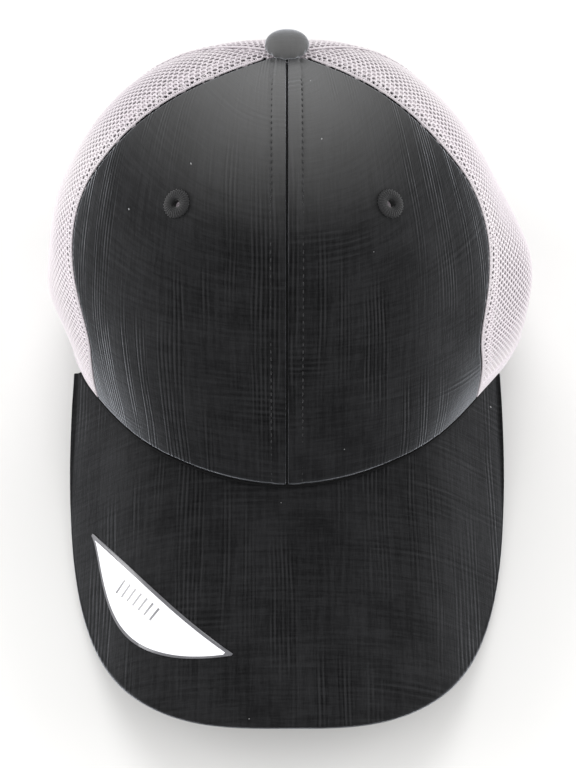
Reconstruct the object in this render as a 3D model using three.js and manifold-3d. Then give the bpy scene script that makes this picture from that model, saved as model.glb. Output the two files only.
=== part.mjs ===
// A trucker cap at its real size, in millimetres, lying on a table as it does when nobody wears it.
// The visor points to -Y, up is +Z, and left and right are as seen from the front.
import * as THREE from 'three';
import { mergeVertices } from 'three/addons/utils/BufferGeometryUtils.js';
import Module from 'manifold-3d';

// The rim: its reach from the crown's axis to the front, side and back
const RIM_FRONT = 85.7;
const RIM_SIDE = 92;
const RIM_BACK = 92.4;

// The crown: height of the visor seam and of the crown's top over the table
const SEAM_HEIGHT = 42;
const CROWN_HEIGHT = 123.9;
// The top lies behind the axis of the rim, partly because the lying cap leans back
const APEX_BACK = 37.6;
const CROWN_LEAN = 9.6;
const APEX_TILT = 13.8;
const APEX_HOLE_RADIUS = 3.6;

// Seams between the panels, in degrees round from the front. The one at the side of the front panel
// swings back on its way up, between two shares of the crown's height.
const SIDE_SEAM = 61.8;
const SIDE_SEAM_TOP = 82.6;
const SIDE_SEAM_SWING = { from: 0.28, to: 0.81 };
const MESH_SEAM = 126;

// Walls and the gap that sewn pieces keep between them
const CLOTH_WALL = 2;
const MESH_WALL = 1.4;
const SEAM_GAP = 0.3;

// The sweatband inside the rim
const BAND_HEIGHT = 30;
const BAND_WALL = 1.2;
const BAND_LIFT = 0.4;

// The opening at the back, its tape and its strap
const ARCH_HALF_WIDTH = 41;
const ARCH_HEIGHT = 52;
const TAPE_WALL = 1;
const TAPE_WIDTH = 7;
const TAPE_GAP = 0.5;
const TAPE_LIFT = 1.2;
const STRAP_HEIGHT = 17;
const STRAP_WALL = 1.6;
const STRAP_OVERLAP = 13;

// The visor
const VISOR_LENGTH = 81.1;
const VISOR_HALF_WIDTH = 84.4;
const VISOR_SQUARENESS = 2.91;
const VISOR_EAR = 73.8;
const VISOR_SLOPE = 11;
const VISOR_WALL = 2.4;
// Above 1, this puts more of the outline's points near the middle of the front
const VISOR_SPACING = 1.4;

// The button on top
const BUTTON_RADIUS = 7.85;
const BUTTON_HEIGHT = 6.6;
const BUTTON_BASE_SHARE = 0.76;
const BUTTON_WIDEST_SHARE = 0.38;
const BUTTON_STEM_RADIUS = 2.5;
const BUTTON_STEM_LENGTH = 3.4;

// The eyelets: place on the front panel, in degrees round and up, and their size
const EYELET_AZIMUTH = 43.4;
const EYELET_RISE = 50.6;
const EYELET_RADIUS = 4.9;
const EYELET_HOLE_RADIUS = 1.5;
const EYELET_WALL = 1.3;

// The sticker on the left of the visor. Its two corners are shares of the visor's half width
// and of the way from its ears to its tip. Both its edges bow outwards, most past their middle.
const LABEL_REAR_CORNER = { across: 0.858, along: 0.466 };
const LABEL_FRONT_CORNER = { across: 0.22, along: 0.834 };
const LABEL_NEAR_BOW = 2.6;
const LABEL_FAR_BOW = 18.4;
const LABEL_SKEW = 1.25;
const LABEL_TIP_WIDTH = 0.8;
const LABEL_WALL = 0.5;

// The rim every 30 degrees round from the front: its fullness against a plain oval,
// and its height as a share of SEAM_HEIGHT
const RIM_SECTIONS = [
  { azimuth: 0, fullness: 1, lift: 1 },
  { azimuth: 30, fullness: 0.966, lift: 0.952 },
  { azimuth: 60, fullness: 0.912, lift: 0.643 },
  { azimuth: 90, fullness: 0.985, lift: 0.365 },
  { azimuth: 120, fullness: 1.03, lift: 0.262 },
  { azimuth: 150, fullness: 1.03, lift: 0 },
  { azimuth: 180, fullness: 1, lift: 0 },
];
const SECTION_STEP = 30;

// How the crown rises at the front, side and back. A small shoulder is a square one, a large foot
// leaves the rim steeply, and bulge swells the wall between rim and top.
const PROFILES = {
  front: { shoulder: 0.61, foot: 1.07, bulge: -0.077 },
  side: { shoulder: 0.51, foot: 1.44, bulge: 0.084 },
  back: { shoulder: 0.89, foot: 1.64, bulge: 0.084 },
};

const radians = THREE.MathUtils.degToRad;
const degrees = THREE.MathUtils.radToDeg;
const lerp = THREE.MathUtils.lerp;
const smoothstep = THREE.MathUtils.smoothstep;
const clamp = THREE.MathUtils.clamp;

// Smooth value of one column of RIM_SECTIONS. A bounded column never passes the values of its rows.
function sectionValue(column, azimuth, bounded = false) {
  const values = RIM_SECTIONS.map((row) => row[column]);
  const rises = values.slice(1).map((value, i) => value - values[i]);
  const slopeAt = (i) => {
    if (i === 0 || i === rises.length) return 0;
    const before = rises[i - 1];
    const after = rises[i];
    const slope = (before + after) / 2;
    if (!bounded) return slope;
    if (before * after <= 0) return 0;
    const steepest = 3 * Math.min(Math.abs(before), Math.abs(after));
    return clamp(slope, -steepest, steepest);
  };
  const folded = 180 - Math.abs(180 - Math.abs(azimuth));
  const place = folded / SECTION_STEP;
  const i = Math.min(Math.floor(place), values.length - 2);
  const u = place - i;
  const w = 1 - u;
  return (
    values[i] * (1 + 2 * u) * w * w +
    slopeAt(i) * u * w * w +
    values[i + 1] * u * u * (3 - 2 * u) -
    slopeAt(i + 1) * u * u * w
  );
}

// A point of the rim, at an azimuth from the front that is positive to the right
function rimPoint(azimuth) {
  const sine = Math.sin(radians(azimuth));
  const cosine = Math.cos(radians(azimuth));
  const alongReach = cosine > 0 ? RIM_FRONT : RIM_BACK;
  const oval = 1 / Math.hypot(cosine / alongReach, sine / RIM_SIDE);
  const reach = oval * sectionValue('fullness', azimuth);
  const lift = SEAM_HEIGHT * sectionValue('lift', azimuth, true);
  return new THREE.Vector3(reach * sine, -reach * cosine, lift);
}

// The profile at an azimuth, blended from front, side and back
function profileAt(azimuth) {
  const cosine = Math.cos(radians(azimuth));
  const front = Math.max(cosine, 0) ** 2;
  const back = Math.max(-cosine, 0) ** 2;
  const side = 1 - front - back;
  const blend = (key) => front * PROFILES.front[key] + side * PROFILES.side[key] + back * PROFILES.back[key];
  return { shoulder: blend('shoulder'), foot: blend('foot'), bulge: blend('bulge') };
}

// Share of the crown's height that the wall has reached at a rise of 0 degrees, the rim, to 90, the top
function heightShare(azimuth, rise) {
  const { shoulder, foot } = profileAt(azimuth);
  const reach = Math.max(Math.cos(radians(rise)), 0);
  return (1 - reach ** (2 / shoulder)) ** (foot / 2);
}

// The rise at which the wall is a given height over the rim
function riseAtHeight(azimuth, height) {
  const { shoulder, foot } = profileAt(azimuth);
  const share = clamp(height / (CROWN_HEIGHT - rimPoint(azimuth).z), 0, 1);
  return degrees(Math.acos((1 - share ** (2 / foot)) ** (shoulder / 2)));
}

// A point of the crown's outer surface
function crownPoint(azimuth, rise) {
  const rim = rimPoint(azimuth);
  const height = heightShare(azimuth, rise);
  const reach = Math.cos(radians(rise)) * (1 + profileAt(azimuth).bulge * Math.sin(Math.PI * height));
  const inward = Math.max(1 - reach, 0);
  const y = rim.y * reach + APEX_BACK * (1 - reach) + CROWN_LEAN * height;
  const behindApex = y - APEX_BACK - CROWN_LEAN;
  const level = lerp(rim.z, CROWN_HEIGHT, height);
  return new THREE.Vector3(rim.x * reach, y, level - Math.tan(radians(APEX_TILT)) * behindApex * inward ** 2);
}

// The outward normal of the crown's surface
function crownNormal(azimuth, rise) {
  const step = 0.2;
  const low = Math.max(rise - step, 0.02);
  const high = Math.min(rise + step, 89.9);
  const round = crownPoint(azimuth + step, rise).sub(crownPoint(azimuth - step, rise));
  const up = crownPoint(azimuth, high).sub(crownPoint(azimuth, low));
  return round.cross(up).normalize();
}

// A point at a depth inside the outer surface, or outside it if the depth is negative.
// A level point keeps the height that the surface has there.
function crownInside(azimuth, rise, depth, level = false) {
  const normal = crownNormal(azimuth, rise);
  if (level) {
    const across = Math.hypot(normal.x, normal.y);
    normal.set(normal.x, normal.y, 0).divideScalar(across * across);
  }
  return crownPoint(azimuth, rise).addScaledVector(normal, -depth);
}

// How many degrees of azimuth a distance along the wall takes up
function azimuthStep(azimuth, rise, distance) {
  const step = 0.5;
  const length = crownPoint(azimuth + step, rise).distanceTo(crownPoint(azimuth - step, rise));
  return (distance * 2 * step) / length;
}

// The rise at which the panels end round the hole under the button
function topRise(azimuth) {
  const rim = rimPoint(azimuth);
  return degrees(Math.acos(APEX_HOLE_RADIUS / Math.hypot(rim.x, rim.y - APEX_BACK)));
}

function frontSeam() {
  return 0;
}

function sideSeam(rise) {
  const { from, to } = SIDE_SEAM_SWING;
  return lerp(SIDE_SEAM, SIDE_SEAM_TOP, smoothstep(heightShare(SIDE_SEAM, rise), from, to));
}

function meshSeam() {
  return MESH_SEAM;
}

function rearSeam() {
  return 180;
}

function range(count) {
  return Array.from({ length: count + 1 }, (_, i) => i / count);
}

function signedVolume(points, triangles) {
  let sum = 0;
  for (let i = 0; i < triangles.length; i += 3) {
    const [a, b, c] = [0, 1, 2].map((k) => points[triangles[i + k]]);
    sum += a.dot(b.clone().cross(c)) / 6;
  }
  return sum;
}

// A closed geometry from points and triangles, with its faces turned outwards
function solid(points, triangles) {
  const outwards = signedVolume(points, triangles) > 0;
  const index = [];
  for (let i = 0; i < triangles.length; i += 3) {
    const [a, b, c] = triangles.slice(i, i + 3);
    index.push(a, outwards ? b : c, outwards ? c : b);
  }
  const geometry = new THREE.BufferGeometry();
  const numbers = points.flatMap((point) => point.toArray());
  geometry.setAttribute('position', new THREE.Float32BufferAttribute(numbers, 3));
  geometry.setIndex(index);
  return geometry;
}

// A closed wall between an outer and an inner grid of points, each a list of columns
function wall(outer, inner) {
  const columns = outer.length;
  const rows = outer[0].length;
  const points = [...outer.flat(), ...inner.flat()];
  const at = (side, i, j) => side * columns * rows + i * rows + j;
  const triangles = [];
  const quad = (a, b, c, d) => triangles.push(a, b, c, a, c, d);
  for (let i = 0; i < columns - 1; i += 1) {
    for (let j = 0; j < rows - 1; j += 1) {
      quad(at(0, i, j), at(0, i + 1, j), at(0, i + 1, j + 1), at(0, i, j + 1));
      quad(at(1, i, j), at(1, i, j + 1), at(1, i + 1, j + 1), at(1, i + 1, j));
    }
  }
  for (let i = 0; i < columns - 1; i += 1) {
    quad(at(0, i, 0), at(1, i, 0), at(1, i + 1, 0), at(0, i + 1, 0));
    const last = rows - 1;
    quad(at(0, i, last), at(0, i + 1, last), at(1, i + 1, last), at(1, i, last));
  }
  for (let j = 0; j < rows - 1; j += 1) {
    quad(at(0, 0, j), at(0, 0, j + 1), at(1, 0, j + 1), at(1, 0, j));
    const last = columns - 1;
    quad(at(0, last, j), at(1, last, j), at(1, last, j + 1), at(0, last, j + 1));
  }
  return solid(points, triangles);
}

// A closed bar: the same outline of points at each station, with flat ends
function bar(stations) {
  const sides = stations[0].length;
  const points = stations.flat();
  const triangles = [];
  for (let i = 0; i < stations.length - 1; i += 1) {
    for (let k = 0; k < sides; k += 1) {
      const next = (k + 1) % sides;
      const [a, b, c, d] = [i * sides + k, i * sides + next, (i + 1) * sides + next, (i + 1) * sides + k];
      triangles.push(a, b, c, a, c, d);
    }
  }
  return { points, triangles, sides };
}

// One panel of the crown between two seams. The foot gives the lowest rise at a share of its width.
function panelGeometry({ from, to, thickness, columns, rows, foot }) {
  const outer = [];
  const inner = [];
  for (const share of columns) {
    const outerColumn = [];
    const innerColumn = [];
    const start = foot ? foot(share) : 0;
    const end = topRise(lerp(from(90), to(90), share));
    for (const up of range(rows)) {
      const rise = lerp(start, end, up);
      const first = from(rise) + azimuthStep(from(rise), rise, SEAM_GAP / 2);
      const last = to(rise) - azimuthStep(to(rise), rise, SEAM_GAP / 2);
      const azimuth = lerp(first, last, share);
      const onRim = up === 0 && start === 0;
      outerColumn.push(crownPoint(azimuth, rise));
      innerColumn.push(crownInside(azimuth, rise, thickness, onRim));
    }
    outer.push(outerColumn);
    inner.push(innerColumn);
  }
  return wall(outer, inner);
}

// The same geometry on the other side of the cap
function mirrored(geometry) {
  const copy = geometry.clone();
  const position = copy.getAttribute('position');
  for (let i = 0; i < position.count; i += 1) position.setX(i, -position.getX(i));
  const index = copy.getIndex();
  for (let i = 0; i < index.count; i += 3) {
    const second = index.getX(i + 1);
    index.setX(i + 1, index.getX(i + 2));
    index.setX(i + 2, second);
  }
  return copy;
}

// Cuts are made with manifold-3d
const wasm = await Module();
wasm.setup();

function toManifold(geometry) {
  const bare = geometry.clone();
  bare.deleteAttribute('normal');
  bare.deleteAttribute('uv');
  const merged = mergeVertices(bare, 1e-4);
  return new wasm.Manifold(
    new wasm.Mesh({
      numProp: 3,
      vertProperties: new Float32Array(merged.getAttribute('position').array),
      triVerts: new Uint32Array(merged.getIndex().array),
    }),
  );
}

function fromManifold(manifold) {
  const mesh = manifold.getMesh();
  const geometry = new THREE.BufferGeometry();
  geometry.setAttribute('position', new THREE.BufferAttribute(Float32Array.from(mesh.vertProperties), 3));
  geometry.setIndex(Array.from(mesh.triVerts));
  return geometry;
}

// Turns a geometry made round the Z axis to stand on the crown at a place
function standOnCrown(geometry, azimuth, rise, lift) {
  const normal = crownNormal(azimuth, rise);
  const turn = new THREE.Quaternion().setFromUnitVectors(new THREE.Vector3(0, 0, 1), normal);
  const place = crownPoint(azimuth, rise).addScaledVector(normal, lift);
  return geometry.applyMatrix4(new THREE.Matrix4().compose(place, turn, new THREE.Vector3(1, 1, 1)));
}

// A lathe turned to have its axis along Z
function turned(profile, sides) {
  return new THREE.LatheGeometry(profile, sides).rotateX(Math.PI / 2);
}

// The front panel, with the hole that its eyelet is sewn round
function frontPanel() {
  const blank = panelGeometry({
    from: frontSeam,
    to: sideSeam,
    thickness: CLOTH_WALL,
    columns: range(13),
    rows: 16,
  });
  const holeRadius = EYELET_HOLE_RADIUS + SEAM_GAP;
  const punchLength = 4 * CLOTH_WALL;
  const punch = new THREE.CylinderGeometry(holeRadius, holeRadius, punchLength, 16).rotateX(Math.PI / 2);
  standOnCrown(punch, EYELET_AZIMUTH, EYELET_RISE, 0);
  return fromManifold(toManifold(blank).subtract(toManifold(punch)));
}

function meshSide() {
  return panelGeometry({
    from: sideSeam,
    to: meshSeam,
    thickness: MESH_WALL,
    columns: range(12),
    rows: 16,
  });
}

// Stations from the foot of the arch to its crest
const ARCH_STEPS = 10;

// A place on the back, on an arch that is a margin outside the edge of the opening:
// turn is 0 at its right foot, 90 at its crest and 180 at its left foot
function archPlace(turn, margin) {
  const across = (ARCH_HALF_WIDTH + margin) * Math.cos(radians(turn));
  const height = (ARCH_HEIGHT + margin) * Math.sin(radians(turn));
  const azimuth = 180 - degrees(across / RIM_BACK);
  return { azimuth, rise: riseAtHeight(azimuth, Math.max(height, 0)) };
}

// A back panel: its columns are close together where the arch stands steep
function meshBack() {
  const archShare = degrees(ARCH_HALF_WIDTH / RIM_BACK) / (rearSeam() - MESH_SEAM);
  const archColumns = range(ARCH_STEPS).map((u) => 1 - archShare * Math.cos(radians(90 * u)));
  const besideArch = range(5).slice(0, -1).map((u) => u * (1 - archShare));
  const foot = (share) => {
    if (share <= 1 - archShare + 1e-6) return 0;
    const turn = degrees(Math.acos(clamp((1 - share) / archShare, 0, 1)));
    return archPlace(turn, 0).rise;
  };
  return panelGeometry({
    from: meshSeam,
    to: rearSeam,
    thickness: MESH_WALL,
    columns: [...besideArch, ...archColumns],
    rows: 12,
    foot,
  });
}

// The tape folded round the edge of the rear opening: a U in section, open away from the opening
function archBinding() {
  const outside = [TAPE_GAP, TAPE_GAP + TAPE_WALL];
  const inside = [-(MESH_WALL + TAPE_GAP), -(MESH_WALL + TAPE_GAP + TAPE_WALL)];
  const edge = [-TAPE_GAP, -(TAPE_GAP + TAPE_WALL)];
  const section = [
    { margin: TAPE_WIDTH, lift: outside[1] },
    { margin: edge[1], lift: outside[1] },
    { margin: edge[1], lift: inside[1] },
    { margin: TAPE_WIDTH, lift: inside[1] },
    { margin: TAPE_WIDTH, lift: inside[0] },
    { margin: edge[0], lift: inside[0] },
    { margin: edge[0], lift: outside[0] },
    { margin: TAPE_WIDTH, lift: outside[0] },
  ];
  const footTurn = degrees(Math.asin(TAPE_LIFT / ARCH_HEIGHT));
  const turns = range(2 * ARCH_STEPS).map((u) => clamp(180 * u, footTurn, 180 - footTurn));
  const stations = turns.map((turn) => {
    return section.map(({ margin, lift }) => {
      const { azimuth, rise } = archPlace(turn, margin);
      return crownInside(azimuth, rise, -lift, true);
    });
  });
  const { points, triangles, sides } = bar(stations);
  const last = points.length - sides;
  const caps = [
    [0, 1, 6], [0, 6, 7], [1, 2, 5], [1, 5, 6], [2, 3, 4], [2, 4, 5],
  ];
  for (const [a, b, c] of caps) triangles.push(a, c, b, last + a, last + b, last + c);
  return solid(points, triangles);
}

// A band that follows the inside of the rim between two azimuths
function rimBand({ from, to, columns, low, high, depth, thickness, rows }) {
  const outer = [];
  const inner = [];
  for (const share of range(columns)) {
    const azimuth = lerp(from, to, share);
    const rises = range(rows).map((up) => riseAtHeight(azimuth, lerp(low, high, up)));
    outer.push(rises.map((rise) => crownInside(azimuth, rise, depth, true)));
    inner.push(rises.map((rise) => crownInside(azimuth, rise, depth + thickness, true)));
  }
  return wall(outer, inner);
}

// Degrees from the middle of the back to the ends of the strap, behind the mesh beside the opening
const STRAP_END = degrees((ARCH_HALF_WIDTH + STRAP_OVERLAP) / RIM_BACK);

function sweatband() {
  const end = 180 - STRAP_END - degrees(SEAM_GAP / RIM_BACK);
  return rimBand({
    from: -end,
    to: end,
    columns: 56,
    rows: 3,
    low: BAND_LIFT,
    high: BAND_HEIGHT,
    depth: CLOTH_WALL + SEAM_GAP,
    thickness: BAND_WALL,
  });
}

function backStrap() {
  return rimBand({
    from: 180 - STRAP_END,
    to: 180 + STRAP_END,
    columns: 22,
    rows: 2,
    low: 0,
    high: STRAP_HEIGHT,
    depth: MESH_WALL + TAPE_WALL + TAPE_GAP + SEAM_GAP,
    thickness: STRAP_WALL,
  });
}

// Azimuth at which the front of the rim is as far out as x
function seamAzimuth(x) {
  let low = 0;
  let high = VISOR_EAR;
  for (let i = 0; i < 40; i += 1) {
    const middle = (low + high) / 2;
    if (rimPoint(middle).x < Math.abs(x)) low = middle;
    else high = middle;
  }
  return low;
}

// Height of the visor's upper face: it leaves the seam, slopes down to the front and droops at the sides
function visorTop(x, y, droop) {
  const seam = rimPoint(seamAzimuth(x));
  const forward = Math.max(seam.y - y, 0);
  const slope = Math.tan(radians(VISOR_SLOPE));
  const curl = (droop * (x / VISOR_HALF_WIDTH) ** 2) / VISOR_LENGTH;
  return seam.z - SEAM_GAP - (slope + curl) * forward;
}

// Height of its lower face, one wall thickness below at right angles to the upper one
function visorUnder(x, y, droop) {
  const step = 0.5;
  const alongX = (visorTop(x + step, y, droop) - visorTop(x - step, y, droop)) / (2 * step);
  const alongY = (visorTop(x, y + step, droop) - visorTop(x, y - step, droop)) / (2 * step);
  return visorTop(x, y, droop) - VISOR_WALL * Math.hypot(1, alongX, alongY);
}

// A point of the visor's outline, at a share from -1, its left ear, to 1, its right one
function visorOutline(share) {
  const turn = radians(90 * Math.abs(share) ** VISOR_SPACING);
  const ear = rimPoint(VISOR_EAR);
  const tip = -(RIM_FRONT + VISOR_LENGTH);
  const power = 2 / VISOR_SQUARENESS;
  const x = Math.sign(share) * VISOR_HALF_WIDTH * Math.sin(turn) ** power;
  const y = ear.y + (tip - ear.y) * Math.max(Math.cos(turn), 0) ** power;
  return { x, y };
}

// The droop at which the sides of the visor just touch the table
function restingDroop() {
  const lowest = (droop) => {
    const heights = range(40).map((u) => {
      const { x, y } = visorOutline(u);
      return visorUnder(x, y, droop);
    });
    return Math.min(...heights);
  };
  let low = -60;
  let high = 90;
  for (let i = 0; i < 40; i += 1) {
    const middle = (low + high) / 2;
    if (lowest(middle) > 0) low = middle;
    else high = middle;
  }
  return low;
}

const VISOR_DROOP = restingDroop();

function visor() {
  const columns = range(40).map((u) => 2 * u - 1);
  const top = [];
  const under = [];
  for (const share of columns) {
    const azimuth = VISOR_EAR * share;
    const seam = rimPoint(azimuth);
    const tucked = crownInside(azimuth, 0, CLOTH_WALL, true);
    const seamTop = visorTop(seam.x, seam.y, VISOR_DROOP);
    const seamUnder = visorUnder(seam.x, seam.y, VISOR_DROOP);
    const edge = visorOutline(share);
    const topColumn = [new THREE.Vector3(tucked.x, tucked.y, seamTop)];
    const underColumn = [new THREE.Vector3(tucked.x, tucked.y, seamUnder)];
    for (const out of range(8)) {
      const x = lerp(seam.x, edge.x, out);
      const y = lerp(seam.y, edge.y, out);
      topColumn.push(new THREE.Vector3(x, y, visorTop(x, y, VISOR_DROOP)));
      underColumn.push(new THREE.Vector3(x, y, visorUnder(x, y, VISOR_DROOP)));
    }
    top.push(topColumn);
    under.push(underColumn);
  }
  return wall(top, under);
}

// The sticker, between its straighter edge near the crown and its rounder one
function visorLabel() {
  const ear = rimPoint(VISOR_EAR);
  const tip = -(RIM_FRONT + VISOR_LENGTH);
  const corner = (shares) => {
    return new THREE.Vector2(-shares.across * VISOR_HALF_WIDTH, lerp(ear.y, tip, shares.along));
  };
  const rear = corner(LABEL_REAR_CORNER);
  const chord = corner(LABEL_FRONT_CORNER).sub(rear);
  const outwards = new THREE.Vector2(chord.y, -chord.x).normalize();
  const top = [];
  const under = [];
  for (const u of range(14)) {
    const skewed = u ** LABEL_SKEW;
    const bow = 4 * skewed * (1 - skewed);
    const middle = rear.clone().addScaledVector(chord, u);
    const nearEdge = LABEL_NEAR_BOW * bow - LABEL_TIP_WIDTH / 2;
    const farEdge = LABEL_FAR_BOW * bow + LABEL_TIP_WIDTH / 2;
    const topColumn = [];
    const underColumn = [];
    for (const v of range(3)) {
      const place = middle.clone().addScaledVector(outwards, lerp(nearEdge, farEdge, v));
      const height = visorTop(place.x, place.y, VISOR_DROOP) + SEAM_GAP;
      topColumn.push(new THREE.Vector3(place.x, place.y, height + LABEL_WALL));
      underColumn.push(new THREE.Vector3(place.x, place.y, height));
    }
    top.push(topColumn);
    under.push(underColumn);
  }
  return wall(top, under);
}

// The button: a dome over a tucked-in underside, with the stem that holds it in the crown
function topButton() {
  const widest = BUTTON_WIDEST_SHARE * BUTTON_HEIGHT;
  const base = BUTTON_BASE_SHARE * BUTTON_RADIUS;
  const profile = [
    new THREE.Vector2(0, -BUTTON_STEM_LENGTH),
    new THREE.Vector2(BUTTON_STEM_RADIUS, -BUTTON_STEM_LENGTH),
    new THREE.Vector2(BUTTON_STEM_RADIUS, 0),
  ];
  for (const u of range(3)) {
    const turn = radians(90 * u);
    profile.push(new THREE.Vector2(lerp(base, BUTTON_RADIUS, Math.sin(turn)), widest * (1 - Math.cos(turn))));
  }
  for (const u of range(6).slice(1)) {
    const turn = radians(90 * u);
    const radius = u === 1 ? 0 : BUTTON_RADIUS * Math.cos(turn);
    profile.push(new THREE.Vector2(radius, lerp(widest, BUTTON_HEIGHT, Math.sin(turn))));
  }
  const geometry = turned(profile, 20);
  const place = crownPoint(0, 90);
  geometry.rotateX(-radians(APEX_TILT));
  const lift = 2 * SEAM_GAP;
  return geometry.translate(place.x, place.y + lift * Math.sin(radians(APEX_TILT)), place.z + lift);
}

// The eyelet: a low ring of stitching round the hole in the front panel
function eyelet() {
  const middle = (EYELET_RADIUS + EYELET_HOLE_RADIUS) / 2;
  const half = (EYELET_RADIUS - EYELET_HOLE_RADIUS) / 2;
  const profile = range(8).map((u) => {
    const turn = radians(180 * u);
    return new THREE.Vector2(middle + half * Math.cos(turn), EYELET_WALL * Math.sin(turn));
  });
  profile.push(profile[0].clone());
  return standOnCrown(turned(profile, 18), EYELET_AZIMUTH, EYELET_RISE, SEAM_GAP);
}

const CLOTH = { color: 0x3a3b3d, roughness: 0.85, metalness: 0 };
const NET = { color: 0xddd3da, roughness: 0.8, metalness: 0 };
const TAPE = { color: 0xd0c8cf, roughness: 0.8, metalness: 0 };
const PLASTIC = { color: 0xd8d2d8, roughness: 0.45, metalness: 0 };
const PAPER = { color: 0xf3f2f0, roughness: 0.35, metalness: 0 };

const cap = new THREE.Group();

function add(name, geometry, look) {
  const mesh = new THREE.Mesh(geometry, new THREE.MeshStandardMaterial(look));
  mesh.name = name;
  cap.add(mesh);
}

function addPair(name, geometry, look) {
  add(`${name}_right`, geometry, look);
  add(`${name}_left`, mirrored(geometry), look);
}

addPair('front_panel', frontPanel(), CLOTH);
addPair('mesh_side', meshSide(), NET);
addPair('mesh_back', meshBack(), NET);
add('visor', visor(), CLOTH);
add('top_button', topButton(), CLOTH);
addPair('eyelet', mergeVertices(eyelet().deleteAttribute('normal').deleteAttribute('uv'), 1e-4), CLOTH);
add('sweatband', sweatband(), TAPE);
add('arch_binding', archBinding(), TAPE);
add('back_strap', backStrap(), PLASTIC);
add('visor_label', visorLabel(), PAPER);

// The origin is under the middle of the whole cap, on the table
const bounds = new THREE.Box3().setFromObject(cap);
cap.position.set(0, -(bounds.min.y + bounds.max.y) / 2, 0);

export default cap;
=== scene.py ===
"""A trucker cap lying on a pale floor: cloth front, net sides and back, stitching and finishes.

Sizes are in millimetres and angles in degrees until a mesh is made. The crown is described as in the
solid model: by an azimuth round from the front and a rise from the rim, 0, to the top, 90.
"""
import math

import bpy
import numpy as np
from mathutils import Matrix, Vector


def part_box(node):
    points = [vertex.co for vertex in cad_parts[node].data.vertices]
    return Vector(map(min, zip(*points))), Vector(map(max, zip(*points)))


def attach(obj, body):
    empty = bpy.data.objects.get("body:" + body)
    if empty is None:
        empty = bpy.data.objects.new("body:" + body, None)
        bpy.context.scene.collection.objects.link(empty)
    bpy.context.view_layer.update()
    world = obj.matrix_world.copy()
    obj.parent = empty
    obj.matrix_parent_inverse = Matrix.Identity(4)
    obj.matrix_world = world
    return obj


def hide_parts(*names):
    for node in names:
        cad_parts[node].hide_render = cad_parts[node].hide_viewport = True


MM = 0.001

# The rim and the crown
RIM_FRONT = 85.7
RIM_SIDE = 92
RIM_BACK = 92.4
SEAM_HEIGHT = 42
CROWN_HEIGHT = 123.9
APEX_BACK = 37.6
CROWN_LEAN = 9.6
APEX_TILT = 13.8
APEX_HOLE_RADIUS = 3.6
SECTION_STEP = 30
FULLNESS = (1, 0.966, 0.912, 0.985, 1.03, 1.03, 1)
LIFT = (1, 0.952, 0.643, 0.365, 0.262, 0, 0)

# Shoulder, foot and bulge of the crown's wall at the front, side and back
PROFILES = ((0.61, 1.07, -0.077), (0.51, 1.44, 0.084), (0.89, 1.64, 0.084))

# Seams and walls
SIDE_SEAM = 61.8
SIDE_SEAM_TOP = 82.6
SIDE_SEAM_SWING = (0.28, 0.81)
MESH_SEAM = 126
CLOTH_WALL = 2
NET_WALL = 1.4
SEAM_GAP = 0.3

# Sweatband, rear opening, tape and strap
BAND_HEIGHT = 30
BAND_WALL = 1.2
BAND_LIFT = 0.4
ARCH_HALF_WIDTH = 41
ARCH_HEIGHT = 52
TAPE_WALL = 1
TAPE_WIDTH = 7
TAPE_GAP = 0.5
TAPE_LIFT = 1.2
STRAP_HEIGHT = 17
STRAP_WALL = 1.6
STRAP_OVERLAP = 13

# Visor
VISOR_LENGTH = 81.1
VISOR_HALF_WIDTH = 84.4
VISOR_SQUARENESS = 2.91
VISOR_EAR = 73.8
VISOR_SLOPE = 11
VISOR_WALL = 2.4
VISOR_SPACING = 1.4

# Button and eyelets
BUTTON_RADIUS = 7.85
BUTTON_HEIGHT = 6.6
BUTTON_BASE_SHARE = 0.76
BUTTON_WIDEST_SHARE = 0.38
BUTTON_STEM_RADIUS = 2.5
BUTTON_STEM_LENGTH = 3.4
EYELET_AZIMUTH = 43.4
EYELET_RISE = 50.6
EYELET_RADIUS = 4.9
EYELET_HOLE_RADIUS = 1.5
EYELET_WALL = 1.3
EYELET_STITCHES = 30

# Sticker on the visor
LABEL_REAR_CORNER = (0.858, 0.466)
LABEL_FRONT_CORNER = (0.22, 0.834)
LABEL_NEAR_BOW = 2.6
LABEL_FAR_BOW = 18.4
LABEL_SKEW = 1.25
LABEL_TIP_WIDTH = 0.8
LABEL_BACKING = 0.5
LABEL_FACE = 0.12
LABEL_MARGINS = (1.25, 0.8)
LABEL_TIPS = (3, 2.2)

# Plain marks on the sticker: pitch, place in a pitch, place along and across the sticker, soft edge
MARK_PITCH = 3.1
MARK_STROKE = (0.75, 1.75)
MARK_ROW = (24.8, 46.6)
MARK_HEIGHTS = (5.6, 10.4)
MARK_EDGE = 0.1

# Net and sewing
NET_PITCH = 2.2
NET_STRAND = 0.43
ALLOWANCE_WIDTH = 5
HEM_WIDTH = 4.5
RIM_HEM_HEIGHT = 8
RIDGE_RADIUS = 0.42
# Radius of the near-black cords that paint the shade deep in the closest seams
GROOVE_SHADE_RADIUS = 0.45
THREAD = 0.27
STITCH_PITCH = 2.6
STITCH_LENGTH = 1.6
TOPSTITCH_INSET = 5.4
NET_STITCH_INSET = 2.4

# Grooves along the edges of a front panel, each a depth and a width
CENTRE_GROOVE = (1.9, 0.42)
SIDE_GROOVE = (0.9, 0.6)
FOOT_GROOVE = (1.3, 0.9)

# Fine steps of a front panel's mesh in from its edges, and the turn past which an edge stays sharp
EDGE_STEPS = (0, 0.25, 0.5, 0.8, 1.2, 1.7, 2.4, 3.2)
SHARP_ANGLE = 50

# Tapes behind the seams: half their width, and where they lie under the crown's outer surface
SEAM_TAPE_HALF = 6
UNDER_CLOTH = (-3.1, -2.4)
UNDER_FRONT_SEAM = (-3.1, -2.3)
UNDER_NET = (-2.3, -1.5)
ALLOWANCE_LIFTS = (-2.3, -1.35)

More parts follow.
